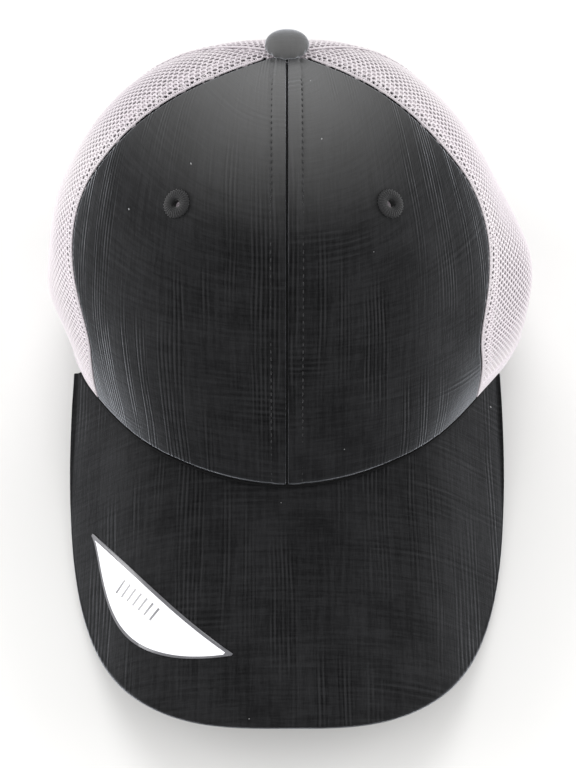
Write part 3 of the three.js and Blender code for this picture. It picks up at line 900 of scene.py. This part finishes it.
def front_cloth(side, material, lining):
    """A front panel, sunk at its seams and a little proud along the centre seam's allowance"""
    shares = spaced(FRONT.widths.max(), 1.5)
    lengths = spaced(FRONT.up[-1], 1.5) * FRONT.up[-1]
    middle_top = top_rise(FRONT.azimuth(0.5, 90.0))
    rises = FRONT.rise_at(lengths)[:, None] * top_rise(FRONT.azimuth(shares, 90.0)) / middle_top
    rises = np.minimum(rises, 88.4)
    azimuths = FRONT.azimuth(shares, rises)
    points = crown_point(azimuths, rises)
    steps = np.linalg.norm(np.diff(points, axis=1), axis=-1)
    from_centre = np.concatenate([np.zeros((len(rises), 1)), np.cumsum(steps, 1)], 1)
    from_side = from_centre[:, -1:] - from_centre
    from_foot = np.broadcast_to(lengths[:, None], from_centre.shape)
    lift = groove(from_centre, *CENTRE_GROOVE) + groove(from_side, *SIDE_GROOVE)
    lift += groove(from_foot, *FOOT_GROOVE)
    lift += 0.35 * (1 - smoothstep(TOPSTITCH_INSET - 1.4, TOPSTITCH_INSET + 0.6, from_centre))
    dents = 0.7 + 0.3 * np.cos(2 * np.pi * from_foot / STITCH_PITCH)
    lift -= 0.45 * dip(from_centre, TOPSTITCH_INSET, 0.6) * dents
    wave = np.sin(from_foot / 13 + side) * np.sin(from_centre / 11 + 2 * side)
    wave += 0.6 * np.sin(from_foot / 7 + from_centre / 17)
    lift += 0.14 * wave * smoothstep(3, 14, from_foot) * smoothstep(2, 12, from_side)
    outer = over_crown(azimuths, rises, lift)
    inner = over_crown(azimuths, rises, -CLOTH_WALL)
    inner[0, :, 2] = np.minimum(inner[0, :, 2], outer[0, :, 2])
    eyelet = crown_point(EYELET_AZIMUTH, EYELET_RISE)
    middles = (points[:-1, :-1] + points[1:, 1:]) / 2
    keep = np.linalg.norm(middles - eyelet, axis=-1) > EYELET_HOLE_RADIUS + 0.7
    name = "front_cloth_right" if side > 0 else "front_cloth_left"
    uv = np.stack(FRONT.measured(shares + 0 * rises, rises), -1)
    uv[..., 0] = side * (from_centre + 4)
    for grid in (outer, inner):
        grid[..., 0] = side * np.maximum(grid[..., 0], 0.02)
    piece = shell(name, outer, inner, uv, [material, lining], keep)
    node = "front_panel_right" if side > 0 else "front_panel_left"
    return keep_piece(piece, "charcoal_cloth", node)


def arch_share(azimuth, rise, margin=0):
    """Under 1 inside the rear opening, widened by a margin"""
    across = np.radians(180 - azimuth) * RIM_BACK / (ARCH_HALF_WIDTH + margin)
    height = height_share(azimuth, rise) * crown_height(azimuth)
    return np.hypot(across, height / (ARCH_HEIGHT + margin))


def honeycomb(panel, shift, accept):
    """Corner points, as share and rise, and edges of a net of six-sided holes over a panel"""
    side = NET_PITCH / math.sqrt(3)
    half = panel.widths.max() / 2 + NET_PITCH
    columns = int(2 * half / NET_PITCH) + 2
    rows = int(panel.up[-1] / (1.5 * side)) + 3
    i, j = np.meshgrid(np.arange(columns), np.arange(rows))
    x = (i + 0.5 * (j % 2)) * NET_PITCH - half + shift[0]
    y = j * 1.5 * side - side + shift[1]
    across = np.concatenate([x.ravel(), x.ravel()])
    up = np.concatenate([(y + side).ravel(), (y - side).ravel()])
    top = j * columns + i
    count = rows * columns
    edges = []
    for step in (0, 1):
        target = i + (j % 2) + step - 1
        fine = (target >= 0) & (target < columns) & (j + 1 < rows)
        edges.append(np.stack([top[fine], count + ((j + 1) * columns + target)[fine]], -1))
    fine = j + 2 < rows
    edges.append(np.stack([top[fine], count + ((j + 2) * columns + i)[fine]], -1))
    edges = np.concatenate(edges)
    share, rise = panel.located(across, np.clip(up, 0, panel.up[-1]))
    inside = accept(share, rise) & (up > 0.2) & (up < panel.up[-1] - 0.5)
    edges = edges[inside[edges].all(1)]
    used = np.unique(edges)
    number = np.zeros(len(share), int)
    number[used] = np.arange(len(used))
    return share[used], rise[used], number[edges]


def net_panel(name, panel, side, material, strands, accept, nodes=(), lift=-NET_WALL / 2, shift=(0, 0)):
    """The net of a panel where accept, a function of share and rise, allows it"""
    share, rise, edges = honeycomb(panel, shift, accept)
    azimuth = panel.azimuth(share, rise)
    points = over_crown(azimuth, rise, lift)
    points[:, 0] *= side
    return keep_piece(strands.grow(wires(name, points, edges), material), "pale_net", *nodes)


def strip(name, seam, side, start, end, lifts, rises, materials, columns=8):
    """A thin band beside or over a seam, from one distance to another, rounded at its edges"""
    shares = np.linspace(0, 1, columns)
    distances = start + (end - start) * shares
    grid_rises = np.broadcast_to(rises[:, None], (len(rises), columns))
    azimuths = np.stack([beside(seam, rises, d) for d in distances], 1)
    edge = np.sin(np.pi * np.clip(shares, 0.02, 0.98)) ** 0.3
    lift = lifts[0] + (lifts[1] - lifts[0]) * edge * np.ones((len(rises), 1))
    outer = over_crown(azimuths, grid_rises, lift)
    inner = over_crown(azimuths, grid_rises, lifts[0] - 0.1)
    climb = np.concatenate([[0], np.cumsum(np.linalg.norm(np.diff(outer[:, 0], axis=0), axis=-1))])
    uv = np.stack([np.broadcast_to(climb[:, None], lift.shape), np.broadcast_to(distances, lift.shape)], -1)
    for grid in (outer, inner):
        grid[..., 0] *= side
    return shell(name, outer, inner, uv, materials)


def seam_path(seam, side, distance, lift, rises):
    """A path up the crown at a distance beside a seam"""
    azimuths = beside(seam, rises, distance)
    points = over_crown(azimuths, rises, lift)
    points[:, 0] *= side
    return points


def even_rises(panel, start, end, pitch=2.0):
    """Rises that climb the middle of a panel in even steps"""
    return panel.rise_at(np.arange(start, panel.up[-1] - end, pitch))


def visor_rings():
    """Closed rings of points across the visor's thickness, one for each column, with their UV map"""
    shares = np.linspace(-1, 1, 141)
    azimuths = VISOR_EAR * shares
    seams = rim_point(azimuths)
    tucked = over_crown(azimuths, 0, -CLOTH_WALL, level=True)
    edge_x, edge_y = visor_outline(shares)
    lengths = np.hypot(edge_x - seams[:, 0], edge_y - seams[:, 1])
    radius = np.minimum(VISOR_WALL / 2, 0.45 * lengths)
    turns = np.radians(np.linspace(80, -80, 11))
    rings = []
    for k in range(len(shares)):
        ahead = np.array([edge_x[k] - seams[k, 0], edge_y[k] - seams[k, 1]]) / max(lengths[k], 1e-6)
        flat = np.linspace(0, 1, 44) * (lengths[k] - radius[k])
        x = seams[k, 0] + ahead[0] * flat
        y = seams[k, 1] + ahead[1] * flat
        top = visor_top(x, y, DROOP)
        under = visor_under(x, y, DROOP)
        upper = np.stack([x, y, top], -1)
        lower = np.stack([x, y, under], -1)
        middle = (top[-1] + under[-1]) / 2
        half = (top[-1] - under[-1]) / 2
        out = radius[k] * np.cos(turns) * (1 - 0.14 * dip(turns, 0.35, 0.14))
        bend = np.stack([x[-1] + ahead[0] * out, y[-1] + ahead[1] * out, middle + half * np.sin(turns)], -1)
        hidden = np.array([[tucked[k, 0], tucked[k, 1], z] for z in (top[0], under[0])])
        rings.append(np.concatenate([hidden[:1], upper, bend, lower[::-1], hidden[1:]]))
    rings = np.array(rings)
    side = np.zeros(rings.shape[1])
    side[len(side) // 2:] = 40
    uv = np.stack([rings[..., 0] + side, rings[..., 1]], -1)
    return rings, uv


def visor_cloth(material):
    """The visor with its rounded edge, closed under the foot of the front panels"""
    rings, uv = visor_rings()
    return keep_piece(sweep("visor_cloth", rings, uv, [material], stiff=True), "charcoal_cloth", "visor")


def label_place(u, v, margins=(0, 0), tips=(0, 0)):
    """A point of the sticker: u runs along it, v across it. Margins and tips are left free inside it."""
    ear_to_tip = VISOR_TIP - EAR[1]
    rear = np.array([-LABEL_REAR_CORNER[0] * VISOR_HALF_WIDTH, EAR[1] + LABEL_REAR_CORNER[1] * ear_to_tip])
    front = np.array([-LABEL_FRONT_CORNER[0] * VISOR_HALF_WIDTH, EAR[1] + LABEL_FRONT_CORNER[1] * ear_to_tip])
    chord = front - rear
    length = np.hypot(*chord)
    outwards = np.array([chord[1], -chord[0]]) / length
    u = (tips[0] + u * (length - tips[0] - tips[1])) / length
    skewed = u ** LABEL_SKEW
    bow = 4 * skewed * (1 - skewed)
    near = LABEL_NEAR_BOW * bow - LABEL_TIP_WIDTH / 2 + margins[0]
    far = np.maximum(LABEL_FAR_BOW * bow + LABEL_TIP_WIDTH / 2 - margins[1], near + 0.05)
    across = near + (far - near) * v
    place = rear + chord * u[..., None] + outwards * across[..., None]
    return place, np.stack([u * length, across], -1)


def label_sheet(name, low, high, margins, tips, material):
    """A layer of the sticker between two heights over the visor, rounded off at its edges"""
    u, v = np.meshgrid(np.linspace(0, 1, 61), np.linspace(0, 1, 17), indexing="ij")
    place, uv = label_place(u, v, margins, tips)
    base = visor_top(place[..., 0], place[..., 1], DROOP)
    edge = np.minimum(np.minimum(v, 1 - v) / 0.03, np.minimum(u, 1 - u) / 0.02).clip(0, 1) ** 0.5
    outer = np.concatenate([place, (base + low + (high - low) * (0.35 + 0.65 * edge))[..., None]], -1)
    inner = np.concatenate([place, (base + low)[..., None]], -1)
    return shell(name, outer, inner, uv, [material], stiff=True)


def button_cloth(material):
    """A cloth covered button: a smooth dome whose gathers show where the cloth tucks under"""
    widest = BUTTON_WIDEST_SHARE * BUTTON_HEIGHT
    base = BUTTON_BASE_SHARE * BUTTON_RADIUS
    under = np.radians(np.linspace(0, 90, 12))
    over = np.radians(np.linspace(0, 89, 22))[1:]
    radii = np.concatenate([
        base + (BUTTON_RADIUS - base) * np.sin(under), BUTTON_RADIUS * np.cos(over) ** 0.92,
    ])
    heights = np.concatenate([
        widest * (1 - np.cos(under)), widest + (BUTTON_HEIGHT - widest) * np.sin(over),
    ])
    radii = np.concatenate([[0.2, BUTTON_STEM_RADIUS, BUTTON_STEM_RADIUS], radii])
    heights = np.concatenate([[-BUTTON_STEM_LENGTH, -BUTTON_STEM_LENGTH, 0.1], heights])
    turn = np.linspace(0, 2 * np.pi, 97)[:-1]
    gathers = np.cos(15 * turn + 1.7 * np.sin(2 * turn)) + 0.5 * np.cos(9 * turn + 1)
    tuck = dip(heights, 0.4, 2.1) * (heights > 0.2)
    radius = radii[:, None] + 0.24 * tuck[:, None] * gathers
    local = np.stack([radius * np.cos(turn), radius * np.sin(turn), heights[:, None] + 0 * radius], -1)
    slope = math.radians(APEX_TILT)
    turned = local.copy()
    turned[..., 1] = local[..., 1] * math.cos(slope) + local[..., 2] * math.sin(slope)
    turned[..., 2] = -local[..., 1] * math.sin(slope) + local[..., 2] * math.cos(slope)
    apex = crown_point(0, 90.0)
    apex = apex + 2 * SEAM_GAP * np.array([0, math.sin(slope), 1])
    uv = np.stack([local[..., 0] + 9, local[..., 1] + local[..., 2] + 5], -1)
    piece = sweep("button_cloth", turned + apex, uv, [material], stiff=True)
    return keep_piece(piece, "charcoal_cloth", "top_button")


def standing(azimuth, rise, lift, side):
    """The matrix that puts a local Z axis on the crown's normal, in metres"""
    point = (slumped(over_crown(azimuth, rise, lift) * (side, 1, 1)) + CAP_SHIFT) * MM
    normal = Vector(crown_normal(azimuth, rise) * (side, 1, 1))
    return Matrix.Translation(Vector(point)) @ normal.to_track_quat("Z", "Y").to_matrix().to_4x4()


def eyelet_stitching(side, material, stitches):
    """Close stitches laid over a low ring round the hole"""
    middle = (EYELET_RADIUS + EYELET_HOLE_RADIUS) / 2
    half = (EYELET_RADIUS - EYELET_HOLE_RADIUS) / 2
    turn = np.linspace(0, 2 * np.pi, 61)
    name = "right" if side > 0 else "left"
    circle = np.stack([middle * np.cos(turn), middle * np.sin(turn), 0 * turn + 0.25], -1)
    starts = np.arange(len(turn) - 1)
    ring = wires(f"eyelet_stitching_{name}", circle, np.stack([starts, starts + 1], -1), stiff=True)
    pitch = 2 * np.pi * middle / EYELET_STITCHES
    stitches.grow(
        ring, material, Pitch=pitch * MM, Length=1.12 * 2 * half * MM, Width=1.5 * pitch * MM,
        Height=2 * EYELET_WALL * 0.82 * MM, Turn=math.pi / 2,
    )
    section = np.radians(np.linspace(0, 180, 10))
    lining_radii = [EYELET_HOLE_RADIUS + 0.05, EYELET_HOLE_RADIUS + 0.9]
    radii = np.concatenate([middle + half * 0.97 * np.cos(section), lining_radii])
    heights = np.concatenate([0.85 * EYELET_WALL * np.sin(section), [-CLOTH_WALL - 0.2] * 2])
    rounds = np.linspace(0, 2 * np.pi, 49)[:-1]
    grid = np.stack([
        radii * np.cos(rounds)[:, None], radii * np.sin(rounds)[:, None], heights + 0 * rounds[:, None],
    ], -1)
    base = sweep(f"eyelet_ring_{name}", grid, grid[..., :2], [material], closed=True, stiff=True)
    place = standing(EYELET_AZIMUTH, EYELET_RISE, 0.05, side)
    home = Matrix.Translation(Vector(-CAP_SHIFT * MM))
    for piece in (ring, base):
        piece.data.transform(place @ home)
    node = "eyelet_right" if side > 0 else "eyelet_left"
    keep_piece(ring, "charcoal_thread", node)
    keep_piece(base, "charcoal_thread")


def rounded_loop(low, high, outside, inside, rounding, rows):
    """A closed section of a band, as heights and lifts, with rounded edges"""
    bend = np.radians(np.linspace(-90, 90, 7))
    middle = (outside + inside) / 2
    half = (outside - inside) / 2
    heights = np.concatenate([
        np.linspace(low + rounding, high - rounding, rows), high - rounding + rounding * np.cos(bend[1:-1]),
        np.linspace(high - rounding, low + rounding, rows), low + rounding - rounding * np.cos(bend[1:-1]),
    ])
    lifts = np.concatenate([
        np.full(rows, outside), middle - half * np.sin(bend[1:-1]),
        np.full(rows, inside), middle + half * np.sin(bend[1:-1]),
    ])
    return heights, lifts


def rim_band(name, start, end, stations, section, materials):
    """A band that follows the rim between two azimuths, with a section of heights and lifts"""
    heights, lifts = section
    azimuths = np.linspace(start, end, stations)[:, None]
    rises = rise_at_height(azimuths, np.maximum(heights, 0))
    rings = over_crown(azimuths, rises, lifts, level=True)
    along = np.radians(azimuths) * RIM_SIDE
    uv = np.stack([along + 0 * heights, heights + 0 * along], -1)
    return sweep(name, rings, uv, materials)


def arch_place(turn, margin):
    """Azimuth and rise of a point round the rear opening, a margin outside its edge"""
    across = (ARCH_HALF_WIDTH + margin) * np.cos(np.radians(turn))
    height = (ARCH_HEIGHT + margin) * np.sin(np.radians(turn))
    azimuth = 180 - np.degrees(across / RIM_BACK)
    return azimuth, rise_at_height(azimuth, np.maximum(height, 0))


def arch_tape(material):
    """The tape folded round the edge of the rear opening"""
    bend = np.radians(np.linspace(90, 270, 13))
    outer = NET_WALL / 2 + TAPE_GAP + TAPE_WALL
    inner = outer - TAPE_WALL
    middle = -NET_WALL / 2
    round_edge = np.radians(np.linspace(90, -90, 5))[1:-1]
    tip = TAPE_WALL / 2
    margins = np.concatenate([
        [TAPE_WIDTH, 4.5, 2], outer * np.cos(bend), [2, 4.5, TAPE_WIDTH],
        TAPE_WIDTH + tip * np.cos(round_edge[::-1]),
        [TAPE_WIDTH, 4.5, 2], inner * np.cos(bend[::-1]), [2, 4.5, TAPE_WIDTH],
        TAPE_WIDTH + tip * np.cos(round_edge[::-1]),
    ])
    lifts = np.concatenate([
        [middle + outer] * 3, middle + outer * np.sin(bend), [middle - outer] * 3,
        middle - outer + tip - tip * np.sin(round_edge),
        [middle - inner] * 3, middle + inner * np.sin(bend[::-1]), [middle + inner] * 3,
        middle + inner + tip - tip * np.sin(round_edge),
    ])
    foot = math.degrees(math.asin(TAPE_LIFT / ARCH_HEIGHT))
    turns = np.linspace(foot, 180 - foot, 101)[:, None]
    azimuths, rises = arch_place(turns, margins)
    rings = over_crown(azimuths, rises, lifts + 0 * rises, level=True)
    along = np.radians(turns) * (ARCH_HALF_WIDTH + ARCH_HEIGHT) / 2
    uv = np.stack([along + 0 * margins, margins + 3 * np.sign(lifts) + 0 * along], -1)
    return keep_piece(sweep("arch_tape", rings, uv, [material]), "pale_tape", "arch_binding")


def arch_path(margin, lift):
    """A path round the rear opening, on its tape"""
    foot = math.degrees(math.asin(TAPE_LIFT / ARCH_HEIGHT)) + 2
    azimuths, rises = arch_place(np.linspace(foot, 180 - foot, 90), margin)
    return over_crown(azimuths, rises, lift, level=True)


def overlock(seam, side, near, far, lift, panel, pitch):
    """A zigzag path beside a seam"""
    rises = even_rises(panel, 2, 6, pitch / 2)
    distances = np.where(np.arange(len(rises)) % 2 == 0, near, far)
    points = over_crown(beside(seam, rises, distances), rises, lift)
    points[:, 0] *= side
    return points


def rim_path(start, end, height, lift, count):
    """A path along the rim at a height over it"""
    azimuths = np.linspace(start, end, count)
    return over_crown(azimuths, rise_at_height(azimuths, height), lift, level=True)


# The scene

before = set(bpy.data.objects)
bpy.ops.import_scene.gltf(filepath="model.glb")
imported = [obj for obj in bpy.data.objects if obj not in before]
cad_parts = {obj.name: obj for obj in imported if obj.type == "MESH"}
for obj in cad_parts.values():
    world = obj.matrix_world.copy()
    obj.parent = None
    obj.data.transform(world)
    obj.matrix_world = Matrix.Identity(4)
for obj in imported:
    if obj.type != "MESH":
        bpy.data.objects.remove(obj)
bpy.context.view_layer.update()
CAP_SHIFT = np.array([0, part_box("visor")[0][1] / MM - VISOR_TIP, 0])

target = (Vector(CAMERA_TARGET) + Vector(CAP_SHIFT)) * MM
elevation = math.radians(CAMERA_ELEVATION)
camera = bpy.data.objects.new("camera", bpy.data.cameras.new("camera"))
camera.data.lens = SENSOR_SIZE * FOCAL_PIXELS / FRAME_LONG_SIDE
camera.data.shift_x = FRAME_SHIFT[0] / FRAME_LONG_SIDE
camera.data.shift_y = FRAME_SHIFT[1] / FRAME_LONG_SIDE
camera.location = target + CAMERA_DISTANCE * MM * Vector((0, -math.cos(elevation), math.sin(elevation)))
camera.rotation_euler = (math.pi / 2 - elevation, 0, 0)
bpy.context.scene.collection.objects.link(camera)
bpy.context.scene.camera = camera

# The front panels' cloth is painted lighter towards the top: painted light
cloth_right = charcoal_cloth("charcoal cloth of the right panel", (3, 5), painted_top_light=0.5)
cloth_left = charcoal_cloth("charcoal cloth of the left panel", (17, 22), painted_top_light=0.5)
cloth_visor = charcoal_cloth("charcoal cloth of the visor", (40, 180), ribs=0.8)
cloth_plain = charcoal_cloth("plain charcoal cloth", (9, 70), ribs=0.15)
# The button's cloth is painted lighter all over: painted light on the top of the crown
cloth_button = charcoal_cloth("charcoal cloth with painted light", (61, 9), ribs=0.3, painted_button_light=0.42)
lining = pale_tape("charcoal lining", (0.035, 0.035, 0.038), (0.02, 0.02, 0.022))
net = pale_net("pale net")
tape = pale_tape("pale tape", (0.66, 0.61, 0.65), (0.54, 0.49, 0.535))
pale_thread = pale_net("pale thread")
dark_thread = charcoal_thread("charcoal thread")
# Near-black cords for the depths of the seams: painted shade
seam_shade_cord = charcoal_thread("painted seam shade", shade=0.25)
strands = strand_growth()
stitches = stitch_growth()

button_cloth(cloth_button)
visor_cloth(cloth_visor)
border = label_border("grey label border")
backing = label_sheet("label_backing", 0.02, LABEL_BACKING, (0, 0), (0, 0), border)
keep_piece(backing, "label_film", "visor_label")
label_top = LABEL_BACKING + LABEL_FACE
film = label_film("white label film")
face = label_sheet("label_face", LABEL_BACKING, label_top, LABEL_MARGINS, LABEL_TIPS, film)
keep_piece(face, "label_film")

arch_side = 180 - math.degrees((ARCH_HALF_WIDTH + TAPE_WIDTH) / RIM_BACK)
hem_start = SIDE_SEAM + math.degrees(SEAM_GAP / RIM_SIDE)


def in_side(share, rise):
    """Where a side panel has net: between its seams and above the hem"""
    azimuth = SIDE.azimuth(share, rise)
    height = height_share(azimuth, rise) * crown_height(azimuth)
    return (share > 0.008) & (share < 0.996) & (height > RIM_HEM_HEIGHT - 1.5)


def in_back(share, rise):
    """Where a rear panel has net: between its seams, above the hem and outside the opening"""
    azimuth = BACK.azimuth(share, rise)
    height = height_share(azimuth, rise) * crown_height(azimuth)
    over_arch = arch_share(azimuth, rise, 1) > 1
    return (share > 0.004) & (share < 0.996) & over_arch & (height > RIM_HEM_HEIGHT - 1.5)


def in_hem(share, rise):
    """Where the net is doubled beside the front panels"""
    distance = share * np.interp(rise, SIDE.rises, SIDE.widths)
    return (distance > ALLOWANCE_WIDTH) & (distance < ALLOWANCE_WIDTH + HEM_WIDTH) & in_side(share, rise)


half_cell = (NET_PITCH / 2, NET_PITCH / 4)
side_rises = even_rises(SIDE, 0.6, 3)
ridge_rises = even_rises(SIDE, 1, 5)
hem_ends = (hem_start, arch_side - 0.4)
insets = (-NET_STITCH_INSET, NET_STITCH_INSET)

for side, word, cloth in ((1, "right", cloth_right), (-1, "left", cloth_left)):
    front_cloth(side, cloth, lining)
    eyelet_stitching(side, dark_thread, stitches)
    net_panel(f"net_side_{word}", SIDE, side, net, strands, in_side, [f"mesh_side_{word}"])
    net_panel(f"net_back_{word}", BACK, side, net, strands, in_back, [f"mesh_back_{word}"])
    net_panel(f"net_hem_{word}", SIDE, side, net, strands, in_hem, lift=-1.1, shift=half_cell)

    allowance = (f"seam_allowance_{word}", side_seam, side, -1, ALLOWANCE_WIDTH, ALLOWANCE_LIFTS)
    keep_piece(strip(*allowance, side_rises, [cloth_plain]), "charcoal_cloth")
    for label, seam, lifts in (("side_front", side_seam, UNDER_CLOTH), ("side_back", mesh_seam, UNDER_NET)):
        band = (f"seam_tape_{label}_{word}", seam, side, -SEAM_TAPE_HALF, SEAM_TAPE_HALF, lifts)
        keep_piece(strip(*band, side_rises, [tape]), "pale_tape")
    ridges = [
        seam_path(side_seam, side, 0.75, -0.25, ridge_rises),
        seam_path(mesh_seam, side, 0, -0.15, ridge_rises),
        overlock(side_seam, side, 0.3, 1.9, -0.1, SIDE, 1.5),
    ]
    corded(f"seam_ridge_{word}", ridges, strands, pale_thread, RIDGE_RADIUS)
    seam_rows = [seam_path(mesh_seam, side, inset, -0.1, even_rises(SIDE, 3, 6)) for inset in insets]
    sewn(f"seam_stitches_{word}", seam_rows, stitches, pale_thread)
    centre_row = seam_path(front_seam, side, TOPSTITCH_INSET, -0.16, even_rises(FRONT, 2, 6))
    sewn(f"centre_topstitch_{word}", [centre_row], stitches, dark_thread, "charcoal_thread")

    hem_section = rounded_loop(0.1, RIM_HEM_HEIGHT, 0, -NET_WALL - 0.3, 0.7, 4)
    ends = [side * azimuth for azimuth in hem_ends]
    keep_piece(rim_band(f"rim_hem_{word}", *sorted(ends), 111, hem_section, [tape]), "pale_tape")
    sewn(f"rim_stitches_{word}", [rim_path(*ends, RIM_HEM_HEIGHT - 1.6, 0.05, 180)], stitches, pale_thread)

# Painted shade: near-black cords laid deep in the two closest seams, standing in for the shade where no light
# falls
centre_groove = seam_path(front_seam, 1, 0, -0.55, even_rises(FRONT, 0.5, 1))
visor_groove = rim_path(-SIDE_SEAM, SIDE_SEAM, 0.5, 0.1, 240)
grooves = (centre_groove, visor_groove)
corded("seam_groove_shade", grooves, strands, seam_shade_cord, GROOVE_SHADE_RADIUS, "charcoal_thread")

arch_top = float(np.interp(rise_at_height(180.0, ARCH_HEIGHT + TAPE_WIDTH - 2), BACK.rises, BACK.up))
rear_rises = even_rises(BACK, arch_top, 3)
for name, seam, rises, lifts in (
    ("seam_tape_rear", rear_seam, rear_rises, UNDER_NET),
    ("seam_tape_front", front_seam, even_rises(FRONT, 1, 6), UNDER_FRONT_SEAM),
):
    band = strip(name, seam, 1, -SEAM_TAPE_HALF, SEAM_TAPE_HALF, lifts, rises, [tape])
    keep_piece(band, "pale_tape")
rear_ridge = seam_path(rear_seam, 1, 0, -0.15, rear_rises)
corded("seam_ridge_rear", [rear_ridge], strands, pale_thread, RIDGE_RADIUS)
rear_rows = [seam_path(rear_seam, 1, inset, -0.1, rear_rises) for inset in insets]
sewn("seam_stitches_rear", rear_rows, stitches, pale_thread)

strap_end = math.degrees((ARCH_HALF_WIDTH + STRAP_OVERLAP) / RIM_BACK)
band_end = 180 - strap_end - math.degrees(SEAM_GAP / RIM_BACK)
band_out = -(CLOTH_WALL + SEAM_GAP)
sweat_section = rounded_loop(BAND_LIFT, BAND_HEIGHT, band_out, band_out - BAND_WALL, 0.6, 9)
sweat = rim_band("sweatband_cloth", -band_end, band_end, 181, sweat_section, [tape])
keep_piece(sweat, "pale_tape", "sweatband")
sweat_rows = [rim_path(-band_end, band_end, h, band_out - BAND_WALL, 420) for h in (2.6, BAND_HEIGHT - 2.4)]
sewn("sweatband_stitches", sweat_rows, stitches, pale_thread)

strap_out = -(NET_WALL + TAPE_WALL + TAPE_GAP + SEAM_GAP)
strap_section = rounded_loop(0, STRAP_HEIGHT, strap_out, strap_out - STRAP_WALL, 0.7, 5)
strap_angles = (180 - strap_end, 180 + strap_end)
strap = rim_band("strap_plastic", *strap_angles, 61, strap_section, [strap_plastic("pale strap plastic")])
keep_piece(strap, "strap_plastic", "back_strap")

arch_tape(tape)
arch_rows = [arch_path(margin, TAPE_GAP + TAPE_WALL + 0.05) for margin in (TAPE_WIDTH - 1.4, 0.6)]
sewn("arch_stitches", arch_rows, stitches, pale_thread)

# Floor and light

bpy.ops.mesh.primitive_plane_add(size=12, location=(0, 0, -0.0003))
floor = bpy.context.object
floor.name = "floor"
floor.data.materials.append(floor_paper("pale floor"))

world = bpy.data.worlds.new("soft room")
world.use_nodes = True
world.node_tree.nodes["Background"].inputs[0].default_value = colour(1, 0.995, 0.985)
world.node_tree.nodes["Background"].inputs[1].default_value = ROOM_LIGHT
bpy.context.scene.world = world


def softbox(name, place, size, power):
    """A large area light that looks at the cap"""
    light = bpy.data.objects.new(name, bpy.data.lights.new(name, "AREA"))
    light.data.shape = "RECTANGLE"
    light.data.size = size[0]
    light.data.size_y = size[1]
    light.data.energy = power
    light.location = place
    light.rotation_euler = (target - Vector(place)).to_track_quat("-Z", "Y").to_euler()
    bpy.context.scene.collection.objects.link(light)


softbox("softbox behind", (-0.1, 1.25, 1.35), (1.3, 0.8), 14)
softbox("softbox left", (-1.25, 0.1, 0.4), (1.1, 0.6), 13)
softbox("softbox right", (1.25, 0.1, 0.4), (1.1, 0.6), 13)
softbox("softbox front", (0, -1.25, 0.6), (1.5, 0.5), 8.5)
bpy.context.scene.view_settings.view_transform = "Standard"
